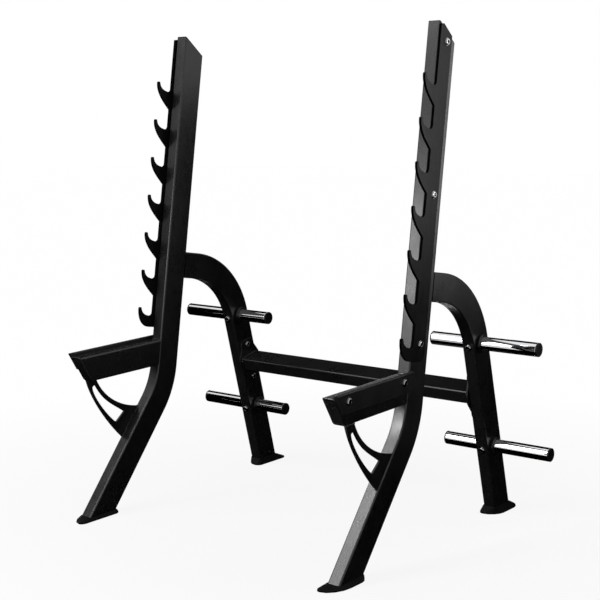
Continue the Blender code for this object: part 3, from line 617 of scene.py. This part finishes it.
def arm_slice(name, near_cut, far_cut):
    """A length of the arm's tube between two saw cuts."""
    tip = on_arm(ARM_LENGTH + SPARE, -ARM_DEPTH / 2)
    piece = section(name, tip, ARM_BACK, TUBE_WIDTH, ARM_DEPTH, ARM_CORNER)
    pull(ARM_BACK * (ARM_LENGTH + 2 * SPARE))
    saw(near_cut, RAKE_NORMAL, keep_below=False)
    saw(*far_cut)
    done()
    tidy_mesh(piece)
    return piece


arm = arm_slice("arm_beam", ARM_TOP_TIP + RAKE_NORMAL * (NOSE_THICKNESS + GAP),
                (FRONT_EDGE - UPRIGHT_BACK * GAP, UPRIGHT_BACK))
fit_both(arm, "powder_coated_steel", coat, "spotter_arm_tube_{side}")
nose_back = (ARM_TOP_TIP + RAKE_NORMAL * NOSE_THICKNESS, RAKE_NORMAL)
nose = arm_slice("arm_nose_plate", ARM_TOP_TIP, nose_back)
soften(nose, 0.0032, 1, 60)
soften(nose, 0.0004, 2, 25)
fit_both(nose, "powder_coated_steel", coat, "spotter_arm_end_plate_{side}")

# %% [markdown]
# Hook plate, gusset and flange are cut from flat plate, so each is a flat outline with a
# thickness. A flat curve does that well: it is filled, extruded and given a small rounded edge
# in one go, holes included, and it is made a mesh before it is turned into its place.

# %% Plates cut to an outline
def arc(centre, radius, first, last, steps=10):
    """Points on an arc, both ends included."""
    angles = [first + (last - first) * step / steps for step in range(steps + 1)]
    return [(centre[0] + radius * cos(angle), centre[1] + radius * sin(angle)) for angle in angles]


def swept(start, end, pulls, steps=24):
    """A curve between two points, with its pulls as shares of its width and height."""
    handles = [tuple(a + (b - a) * share for a, b, share in zip(start, end, shares)) for shares in pulls]
    corners = [start, *handles, end]
    points = []
    for step in range(steps + 1):
        t = step / steps
        weights = ((1 - t) ** 3, 3 * t * (1 - t) ** 2, 3 * t * t * (1 - t), t ** 3)
        points.append(tuple(sum(w * spot[axis] for w, spot in zip(weights, corners)) for axis in (0, 1)))
    return points


def cut_plate(name, outlines, thickness, edge, across, up, origin):
    """A flat plate from outlines drawn along two directions, centred on its thickness."""
    drawing = bpy.data.curves.new(name, "CURVE")
    drawing.dimensions = "2D"
    drawing.fill_mode = "BOTH"
    for outline in outlines:
        spline = drawing.splines.new("POLY")
        spline.points.add(len(outline) - 1)
        for point, (a, b) in zip(spline.points, outline):
            point.co = (a, b, 0, 1)
        spline.use_cyclic_u = True
    drawing.extrude = thickness / 2 - edge
    drawing.bevel_depth = edge
    drawing.bevel_resolution = 2
    drawing.offset = -edge
    piece = bpy.data.objects.new(name, drawing)
    bpy.context.scene.collection.objects.link(piece)
    pick(piece)
    bpy.ops.object.convert(target="MESH")
    piece = bpy.context.object
    turned = Matrix((across, up, across.cross(up))).transposed().to_4x4()
    turned.translation = origin
    piece.matrix_world = turned
    settle(piece)
    tidy_mesh(piece)
    return piece


# %% [markdown]
# Seven hooks stand on the front edge of each hook plate. One hook is an upturned finger with a
# throat behind it and a long curved back under it. The curve is repeated down the plate at an
# even pitch, so that a bar can be set at any of the seven heights. Points are given as forward
# of the upright's front face and up along it, in metres.

# %% Hook plates
HOOK_COUNT = 7
HOOK_TOP_TIP, HOOK_LOW_TIP = TOP_REACH - 0.1887, ARM_REACH + 0.1729
HOOK_PITCH = (HOOK_TOP_TIP - HOOK_LOW_TIP) / (HOOK_COUNT - 1)
PLATE_THICKNESS = 0.010
top_fall = tan(TOP_SLOPE - UPRIGHT_TILT)
plate_top = TOP_REACH - 0.004
comb = [(-0.066, plate_top - 0.066 * top_fall), (-0.010, plate_top - 0.010 * top_fall),
        (0.006, plate_top - 0.016 * top_fall)]
for hook in range(HOOK_COUNT):
    tip = HOOK_TOP_TIP - hook * HOOK_PITCH
    throat = tip - 0.032
    comb += arc((0.020, throat + 0.014), 0.014, -pi, -pi / 2)
    comb += swept((0.020, throat), (0.070, tip - 0.005), ((0.63, 0), (0.92, 0.415)))[1:]
    comb += arc((0.075, tip - 0.005), 0.005, pi, 0)[1:]
    if hook < HOOK_COUNT - 1:
        comb += swept((0.080, tip - 0.005), (0.006, tip - 0.100), ((0, 0.453), (0.67, 0.789)))[1:]
    else:
        comb += swept((0.080, tip - 0.005), (0.020, tip - 0.077), ((0, 0.519), (0.373, 1)))[1:]
comb += arc((-0.042, HOOK_LOW_TIP - 0.053), 0.024, -pi / 2, -pi)
plate_middle = FRONT_EDGE + ACROSS * (OUTER_FACE + GAP + PLATE_THICKNESS / 2 - FRAME_X)
hook_comb = cut_plate("hook_comb", [comb], PLATE_THICKNESS, 0.0007, -UPRIGHT_BACK, UPRIGHT_UP, plate_middle)
fit_both(hook_comb, "hook_plate_steel", plate_coat, "hook_plate_{side}")
print("hook pitch, mm", round(1000 * HOOK_PITCH, 1))

# %% [markdown]
# The gusset under each arm is a broad curved brace with a crescent cut out of it and a notch
# where it meets the leg. Outline and crescent are two closed curves in one drawing: the fill
# leaves the inner one open by itself. The outline follows the leg's own front face, bend
# included, so the brace sits on it all the way.

# %% Gussets
KNEE_CENTRE = KNEE - LEG_UP * BEND_RADIUS * tan((LEG_TILT - UPRIGHT_TILT) / 2) - LEG_BACK * BEND_RADIUS
GUSSET_THICKNESS, GUSSET_INSET = 0.008, 0.006
NOTCH_LOW, NOTCH_HIGH, NOTCH_DEPTH = 0.308, 0.360, 0.004


def leg_front(height, forward):
    """Side-plane point at a height, forward of the leg's front face, bend included."""
    radius = BEND_RADIUS - HALF_DEPTH - forward
    if height > KNEE_CENTRE.z - radius * LEG_UP.y:
        rise = (height - KNEE_CENTRE.z) / radius
        return (KNEE_CENTRE.y + radius * sqrt(1 - rise * rise), height)
    front = FRONT_FOOT - LEG_BACK * (HALF_DEPTH + forward)
    spot = front + LEG_UP * ((height - front.z) / LEG_UP.z)
    return (spot.y, spot.z)


def beside(corner, offset):
    """A point at an offset from a corner."""
    return (corner[0] + offset[0], corner[1] + offset[1])


top_front, top_back = on_arm(0.361, -ARM_DEPTH - GAP).yz, on_arm(0.314, -ARM_DEPTH - GAP).yz
low, high = leg_front(0.277, GAP), leg_front(0.386, GAP)
brace = swept(top_front, low, ((0.13, 0.316), (0.59, 0.735)))
notch_foot, notch_head = leg_front(NOTCH_LOW, GAP), leg_front(NOTCH_HIGH, GAP)
brace += [notch_foot, leg_front(NOTCH_LOW, NOTCH_DEPTH), leg_front(NOTCH_HIGH, NOTCH_DEPTH), notch_head]
brace += swept(top_back, high, ((0.175, 0.631), (0.639, 0.929)))[::-1]
crescent = swept(beside(top_front, (0.029, -0.032)), beside(low, (-0.029, 0.065)),
                 ((0.01, 0.262), (0.73, 0.882)))
crescent += swept(beside(top_back, (-0.002, -0.029)), beside(high, (-0.075, -0.010)),
                  ((0.312, 0.587), (0.632, 0.71)))[::-1]
crescent.append(beside(top_front, (0.038, -0.026)))
gusset = cut_plate("curved_gusset", [brace, crescent], GUSSET_THICKNESS, 0.0007, LEVEL_BACK, UP,
                   ACROSS * (OUTER_FACE - GUSSET_INSET))
fit_both(gusset, "powder_coated_steel", coat, "arm_gusset_plate_{side}")

# %% [markdown]
# The crossmember is a flat box tube between the rear legs, square to them, welded to a plate
# with tapered ends at each side. The plate's outline is made of one quarter, which is turned
# over twice, so that all four corners are alike.

# %% Crossmember and flanges
CROSS_HEIGHT, CROSS_DEPTH, CROSS_THICKNESS = 0.477, 0.100, 0.050
FLANGE_THICKNESS = 0.008
cross_middle = on_rear_leg(CROSS_HEIGHT)
leave_all()
bpy.ops.mesh.primitive_cube_add(size=1, location=(0, cross_middle.y, cross_middle.z),
                                rotation=(-REAR_TILT, 0, 0))
beam = added("cross_beam")
beam.scale = (2 * (INNER_FACE - 2 * GAP - FLANGE_THICKNESS), CROSS_DEPTH, CROSS_THICKNESS)
settle(beam)


def runs_across(edge):
    """Whether an edge is one of the four long ones."""
    first, last = [beam.data.vertices[index].co for index in edge.vertices]
    return abs(first.x - last.x) > FRAME_X


edit_chosen(beam, "EDGE", runs_across)
bpy.ops.mesh.bevel(offset=TUBE_CORNER, segments=5)
done()
tidy_mesh(beam)
fit(beam, coat, ["crossmember_tube"])
check_place(beam, "crossmember_tube")

quarter = [(0.060, 0.022), (0.040, 0.062)] + arc((0.020, 0.074), 0.020, 0, pi / 2)
tapered = quarter + [(-a, b) for a, b in quarter[::-1]]
tapered += [(-a, -b) for a, b in quarter] + [(a, -b) for a, b in quarter[::-1]]
flange_middle = cross_middle + ACROSS * (INNER_FACE - GAP - FLANGE_THICKNESS / 2 - FRAME_X)
flange = cut_plate("bolting_flange", [tapered], FLANGE_THICKNESS, 0.0008, REAR_BACK, REAR_UP, flange_middle)
fit_both(flange, "powder_coated_steel", coat, "crossmember_flange_{side}")

# %% [markdown]
# A button head bolt is turned steel: a low, flat head with a rounded rim and a hexagonal
# socket, on a thin washer. The bolt is modelled once, at the origin with its head upwards, and
# a copy is stood on each seat. The socket is cut with a six-sided prism, as a broach would, and
# its faces are marked by an attribute, so that the finish can paint shade into them. The three
# bolts of a hook plate are bright, and all others are darker.

# %% Bolts
def disc(name, radius, depth, middle, sides=48, fill="NGON"):
    """A cylinder about the Z axis, centred at a height."""
    leave_all()
    bpy.ops.mesh.primitive_cylinder_add(vertices=sides, radius=radius, depth=depth,
                                        location=(0, 0, middle), end_fill_type=fill)
    piece = added(name)
    settle(piece)
    return piece


def cut_out(piece, cutter):
    """Cut one solid out of another and throw the cutter away."""
    apply_modifier(piece, "BOOLEAN", operation="DIFFERENCE", solver="EXACT", object=cutter)
    bpy.data.objects.remove(cutter)


def joined(pieces, name):
    """Join pieces into the first one."""
    leave_all()
    for piece in pieces:
        piece.select_set(True)
    bpy.context.view_layer.objects.active = pieces[0]
    bpy.ops.object.join()
    pieces[0].name = name
    return pieces[0]


head = disc("bolt_head", 0.0113, 0.0052, 0.0037)
HEAD_RIM, SOCKET_REACH = 0.0060, 0.0064
edit_chosen(head, "EDGE", lambda edge: all(head.data.vertices[at].co.z > HEAD_RIM for at in edge.vertices))
bpy.ops.mesh.bevel(offset=0.0028, segments=7, profile=0.5)
done()
cut_out(head, disc("socket", 0.0066, 0.0060, 0.0053, 6))
soften(head, 0.0003, 2, 50)
# Faces in the socket are marked for painted shade.
inside = head.data.attributes.new("socket_shade", "FLOAT", "FACE")
for face in head.data.polygons:
    socket_shade = face.center.xy.length < SOCKET_REACH and face.center.z < HEAD_RIM
    inside.data[face.index].value = 1.0 if socket_shade else 0.0
washer = disc("washer", 0.0128, 0.0012, 0.0009)
soften(washer, 0.0003, 2)
button = joined([head, washer], "button_bolt")


def seat_bolt(name, node, seat, out, material):
    """Stand a copy of the bolt on a seat, with its head pointing out."""
    copy = own_copy(button, name)
    copy.matrix_world = Matrix.Translation(seat) @ out.to_track_quat("Z", "Y").to_matrix().to_4x4()
    settle(copy)
    fit(copy, material, [node])


TOP_BOLT, LOW_BOLT = TOP_REACH - 0.0667, ARM_REACH + 0.1543
PLATE_BOLTS = (LOW_BOLT, LOW_BOLT + (TOP_BOLT - LOW_BOLT) * 0.496, TOP_BOLT)
GUARD_THICKNESS, GUARD_BOLTS = 0.012, (0.063, 0.378)
FLANGE_BOLT = 0.074
HORN_HEIGHTS = {"lower": 0.272, "upper": 0.678}

plate_x, guard_x = OUTER_FACE + GAP + PLATE_THICKNESS, OUTER_FACE + GAP + GUARD_THICKNESS
flange_x = INNER_FACE - GAP - FLANGE_THICKNESS
spots = []
for number, height in enumerate(PLATE_BOLTS, 1):
    spots.append(("hook_plate_bolt_{side}_%d" % number, plate_x, on_upright(-0.036, height), ACROSS))
for number, end in enumerate(GUARD_BOLTS, 1):
    spots.append(("guard_bolt_{side}_%d" % number, guard_x, on_arm(ARM_LENGTH - end, -0.018), ACROSS))
for number, way in enumerate((-1, 1), 1):
    spot = cross_middle + REAR_UP * way * FLANGE_BOLT
    spots.append(("crossmember_bolt_{side}_%d" % number, flange_x, spot, -ACROSS))
for level, height in HORN_HEIGHTS.items():
    spot = on_rear_leg(height) - REAR_BACK * HALF_DEPTH
    spots.append(("horn_lock_bolt_%s_{side}" % level, FRAME_X, spot, -REAR_BACK))
for pattern, x, spot, out in spots:
    material = bright if pattern.startswith("hook") else darker_steel
    for side, word in ((1, "right"), (-1, "left")):
        node, seat = pattern.format(side=word), Vector((side * x, spot.y, spot.z))
        seat_bolt("button_" + node, node, seat, Vector((side * out.x, out.y, out.z)), material)
print("bolts", 2 * len(spots))
bpy.data.objects.remove(button)

# %% [markdown]
# The horns carry spare weight plates. Each is one chromed tube through the rear leg, held by a
# plastic collar on both sides of the leg and closed by a plug at both ends. They are turned
# shapes, so each starts from a cylinder: open with a wall for the tube and the collars, closed
# for the plugs. A plug has a shallow dish in its face and a stem that fits in the tube, which
# are made by inset and extrude. Then each is laid along X in its place.

# %% Horns, collars and plugs
HORN_RADIUS, HORN_WALL = 0.0254, 0.003
HORN_INNER_REACH, HORN_OUTER_REACH = 0.157, 0.236
COLLAR_RADIUS, COLLAR_LENGTH = 0.034, 0.010
PLUG_LENGTH, STEM_LENGTH = 0.005, 0.016


def lie_across(piece, x, y, z, way=1):
    """Lay a piece that stands on Z along X, with its top to one side, and put it in its place."""
    piece.matrix_world = Matrix.Translation((x, y, z)) @ Matrix.Rotation(way * pi / 2, 4, "Y")
    settle(piece)


def ring(name, radius, wall, length, x, spot, edge):
    """A turned ring or tube along X with rounded edges."""
    piece = disc(name, radius, length, 0, 96, "NOTHING")
    apply_modifier(piece, "SOLIDIFY", thickness=wall, offset=-1, use_even_offset=True)
    soften(piece, edge, 3, 50)
    lie_across(piece, x, spot.y, spot.z)
    tidy_mesh(piece)
    return piece


def plug(name, x, way, spot):
    """The moulded plug of a horn's end, with its outer face at x."""
    piece = disc(name, HORN_RADIUS, PLUG_LENGTH, 0, 96)
    edit_chosen(piece, "FACE", lambda face: face.normal.z > 0.9)
    bpy.ops.mesh.inset(thickness=0.0045)
    bpy.ops.mesh.inset(thickness=0.0006, depth=-0.0006)
    done()
    edit_chosen(piece, "FACE", lambda face: face.normal.z < -0.9)
    bpy.ops.mesh.inset(thickness=HORN_WALL + GAP)
    pull((0, 0, -STEM_LENGTH))
    done()
    soften(piece, 0.0012, 3, 50)
    lie_across(piece, x - way * PLUG_LENGTH / 2, spot.y, spot.z, way)
    tidy_mesh(piece)
    return piece


for level, height in HORN_HEIGHTS.items():
    spot = on_rear_leg(height)
    inner_end, outer_end = INNER_FACE - HORN_INNER_REACH, OUTER_FACE + HORN_OUTER_REACH
    tube_length = outer_end - inner_end - 2 * (PLUG_LENGTH + GAP)
    shaft = ring("horn_shaft_" + level, HORN_RADIUS, HORN_WALL, tube_length,
                 (inner_end + outer_end) / 2, spot, 0.0008)
    fit_both(shaft, "polished_chrome", chrome, "plate_horn_" + level + "_{side}")
    collar_wall = COLLAR_RADIUS - HORN_RADIUS - GAP
    pair = [ring("collar", COLLAR_RADIUS, collar_wall, COLLAR_LENGTH, x, spot, 0.0024)
            for x in (OUTER_FACE + GAP + COLLAR_LENGTH / 2, INNER_FACE - GAP - COLLAR_LENGTH / 2)]
    collars = joined(pair, "horn_collars_" + level)
    fit_both(collars, "black_plastic", plastic, "horn_sleeve_" + level + "_{side}")
    for word, x, way in (("outer", outer_end, 1), ("inner", inner_end, -1)):
        end_plug = plug("horn_plug_%s_%s" % (level, word), x, way, spot)
        fit_both(end_plug, "black_plastic", plastic, "horn_cap_%s_%s_{side}" % (level, word))

# %% [markdown]
# Guards and feet are mouldings with soft edges everywhere. Their solids have the right shape
# and only lack the rounding, so a copy of each solid is taken, its loose triangles are merged,
# flat faces are freed of their inner edges, and a bevel rounds what is left.

# %% Guards and feet
def moulding(name, node, edge, segments=3, angle=35):
    """A softened copy of a CAD solid."""
    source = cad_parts[node]
    mesh = source.data.copy()
    mesh.name = name
    piece = bpy.data.objects.new(name, mesh)
    bpy.context.scene.collection.objects.link(piece)
    piece.matrix_world = source.matrix_world
    pick(piece)
    bpy.ops.mesh.customdata_custom_splitnormals_clear()
    settle(piece)
    edit(piece)
    bpy.ops.mesh.remove_doubles(threshold=0.00001)
    bpy.ops.mesh.dissolve_limited(angle_limit=radians(0.5))
    bpy.ops.mesh.normals_make_consistent(inside=False)
    done()
    soften(piece, edge, segments, angle)
    return piece


guard = moulding("arm_guard_cover", "spotter_arm_guard_right", 0.0042, 5)
fit_both(guard, "black_plastic", plastic, "spotter_arm_guard_{side}")
for end in ("front", "rear"):
    foot = moulding("rubber_foot_" + end, end + "_boot_right", 0.0010)
    fit_both(foot, "black_rubber", rubber, end + "_boot_{side}")

# %% [markdown]
# Arms, arches, gussets and crossmember are welded on, and the coat runs over the beads. A bead
# is a row of overlapping drops, so each is a thin curve along the seam whose radius swells and
# sinks every few millimetres. The curve is made a mesh, and all the beads of a side are joined.

# %% Weld beads
RIPPLE = 0.0022
SEAM_HALF = 0.019


def bead(seam, radius, closed=False):
    """A rippled weld bead along a seam of points."""
    ends = list(zip(seam, seam[1:] + seam[:1] if closed else seam[1:]))
    drops = []
    for start, end in ends:
        count = max(2, round((end - start).length / RIPPLE))
        drops += [start.lerp(end, step / count) for step in range(count)]
    if not closed:
        drops.append(seam[-1])
    drawing = bpy.data.curves.new("bead", "CURVE")
    drawing.dimensions = "3D"
    spline = drawing.splines.new("POLY")
    spline.points.add(len(drops) - 1)
    for index, (point, spot) in enumerate(zip(spline.points, drops)):
        point.co = (*spot, 1)
        point.radius = 1.0 if index % 2 else 0.80
    spline.use_cyclic_u = closed
    drawing.bevel_depth = radius
    drawing.bevel_resolution = 3
    drawing.use_fill_caps = not closed
    piece = bpy.data.objects.new("bead", drawing)
    bpy.context.scene.collection.objects.link(piece)
    pick(piece)
    bpy.ops.object.convert(target="MESH")
    return bpy.context.object


def across_tube(spot):
    """The two ends of a seam across a tube at a spot."""
    return [Vector((FRAME_X + half, spot.y, spot.z)) for half in (-SEAM_HALF, SEAM_HALF)]


beads = []
for way in (-1, 1):
    beads.append(bead(across_tube(arch_start + UPRIGHT_UP * HALF_DEPTH * way), 0.0028))
arm_low_root = meeting(FRONT_EDGE, UPRIGHT_UP, arm_root - ARM_UP * (ARM_DEPTH / 2), ARM_BACK)
beads.append(bead(across_tube(ARM_TOP_ROOT), 0.0028))
beads.append(bead(across_tube(arm_low_root), 0.0036))
gusset_middle = OUTER_FACE - GUSSET_INSET
for x in (gusset_middle - GUSSET_THICKNESS / 2, gusset_middle + GUSSET_THICKNESS / 2):
    for first, last in ((top_front, top_back), (low, notch_foot), (notch_head, high)):
        beads.append(bead([Vector((x, *first)), Vector((x, *last))], 0.0022))
loop = [(0.050, -0.019), (0.050, 0.019), (0.044, 0.025), (-0.044, 0.025),
        (-0.050, 0.019), (-0.050, -0.019), (-0.044, -0.025), (0.044, -0.025)]
around = [cross_middle + REAR_BACK * a + REAR_UP * b for a, b in loop]
beads.append(bead([Vector((flange_x, spot.y, spot.z)) for spot in around], 0.0026, True))
welds = joined(beads, "weld_beads")
tidy_mesh(welds)
fit_both(welds, "powder_coated_steel", coat)
print("weld beads, faces on a side", len(welds.data.polygons))

# %% [markdown]
# The rack stands on a plain pale floor in a white studio. The floor is half lamp and half
# matt card: the part that glows keeps it white for the camera, the matt part keeps the shadow.
# The floor fades from a light grey under the rack to white around it. The world is white where
# the camera or a reflection meets it, and dimmer as a light, so that black steel keeps its depth.

# %% Floor and world
leave_all()
bpy.ops.mesh.primitive_plane_add(size=60, location=(0, 0, 0))
floor = added("studio_floor")
paper = Finish("pale_paper", 0.9)
matt = paper.node("BsdfDiffuse", None, {"Color": (0.86, 0.86, 0.86, 1)})
glow = paper.node("Emission", None, {"Color": (1, 1, 1, 1), "Strength": 1.0})
from_rack = paper.node("VectorMath", {"operation": "LENGTH"}, {0: paper.place()}, "Value")
paper.cover(paper.seen() * paper.ramp(from_rack, 0.7, 2.4, 0.90, 0.995), matt, glow)
floor.data.materials.append(paper.material)

world = bpy.data.worlds.new("white_studio")
bpy.context.scene.world = world
world.use_nodes = True
WORLD_AS_LAMP = 0.15
air = Nodes(world.node_tree)
sky = world.node_tree.nodes["Background"]
air.feed(sky.inputs["Color"], (1, 1, 1, 1))
air.feed(sky.inputs["Strength"], air.ramp(air.seen(), 0.0, 1.0, WORLD_AS_LAMP, 1.0))
print("stage", floor.name, world.name)

# %% [markdown]
# Black satin steel is drawn by what it mirrors. A large soft box high in front, on the left,
# gives the light fronts of the legs. A dim panel and a small box, both at the height of the
# rack, fill the fronts of the uprights, and one more small box lights the top of the left one.
# Two lamps have a narrow beam: one lights the knee of the right leg, and a strip behind on the
# right draws the light edges of the right frame. Black cards around the rack and on the floor
# behind it keep the sides of the tubes dark. The card behind on the left stops above the floor,
# and the arms' tops mirror the white below it. The cards are part of the stage: only
# reflections see them, and they hold back no light.

# %% Lamps and black cards
def soft_box(name, place, target, width, height, power, spread=180):
    """An area lamp that looks at a target, with the spread of its beam in degrees."""
    lamp = bpy.data.lights.new(name, "AREA")
    lamp.shape = "RECTANGLE"
    lamp.size, lamp.size_y, lamp.energy, lamp.spread = width, height, power, radians(spread)
    light = bpy.data.objects.new(name, lamp)
    bpy.context.scene.collection.objects.link(light)
    light.location = place
    light.visible_camera = False
    light.rotation_euler = (Vector(target) - Vector(place)).to_track_quat("-Z", "Y").to_euler()


soft_box("key_box", (-2.9, -3.5, 4.7), (0.2, -0.2, 0.5), 2.4, 2.2, 110)
soft_box("rim_strip", (2.60, 2.05, 1.45), (0.65, 0.0, 1.45), 0.45, 1.3, 0.72, 27)
soft_box("fill_panel", (-1.50, -3.2, 1.48), (0.6, -0.1, 1.1), 1.1, 1.2, 8)
soft_box("knee_box", (-0.69, -2.17, 1.36), (0.585, -0.3, 0.55), 0.6, 0.6, 10.5)
soft_box("bend_box", (-0.494, -1.95, 1.673), (0.585, -0.33, 0.42), 0.25, 0.3, 0.27, 14)
soft_box("top_box", (-3.3, -2.7, 3.0), (-0.585, 0.0, 1.8), 0.5, 0.5, 2.0)

black = Finish("black_card", 0.9, 0.0, 0.0)
black.give("Base Color", (0.0, 0.0, 0.0, 1))


def stage_card(card):
    """Make a card part of the stage, seen by reflections alone."""
    card.data.materials.append(black.material)
    card.visible_camera = False
    card.visible_shadow = False
    card.visible_diffuse = False


def wall_card(name, x, y, width, height, low=0.0):
    """An upright card that faces the middle of the rack, from a height above the floor."""
    leave_all()
    bpy.ops.mesh.primitive_plane_add(size=1, location=(x, y, low + height / 2),
                                     rotation=(pi / 2, 0, atan2(-x, y)))
    card = added(name)
    card.scale = (width, height, 1)
    stage_card(card)


def flat_card(name, low, high, height):
    """A level card between two corners."""
    leave_all()
    middle = ((low[0] + high[0]) / 2, (low[1] + high[1]) / 2, height)
    bpy.ops.mesh.primitive_plane_add(size=1, location=middle)
    card = added(name)
    card.scale = (high[0] - low[0], high[1] - low[1], 1)
    stage_card(card)


wall_card("card_right", 3.05, 3.20, 8.0, 0.88)
wall_card("card_inside", 0.60, 1.50, 1.4, 1.62)
wall_card("card_back_left", -2.6, 3.3, 8.0, 6.4, 1.6)
wall_card("card_front_left", -3.6, -3.2, 2.6, 1.8)
wall_card("card_left", -3.73, -2.0, 1.5, 3.8)
flat_card("carpet_behind", (-7, -0.9), (7, 7.1), 0.002)
flat_card("carpet_left", (-7, -2.6), (-0.7, -0.9), 0.002)
wall_card("strip_in_front", -0.5, -2.9, 7.0, 0.20, 2.75)
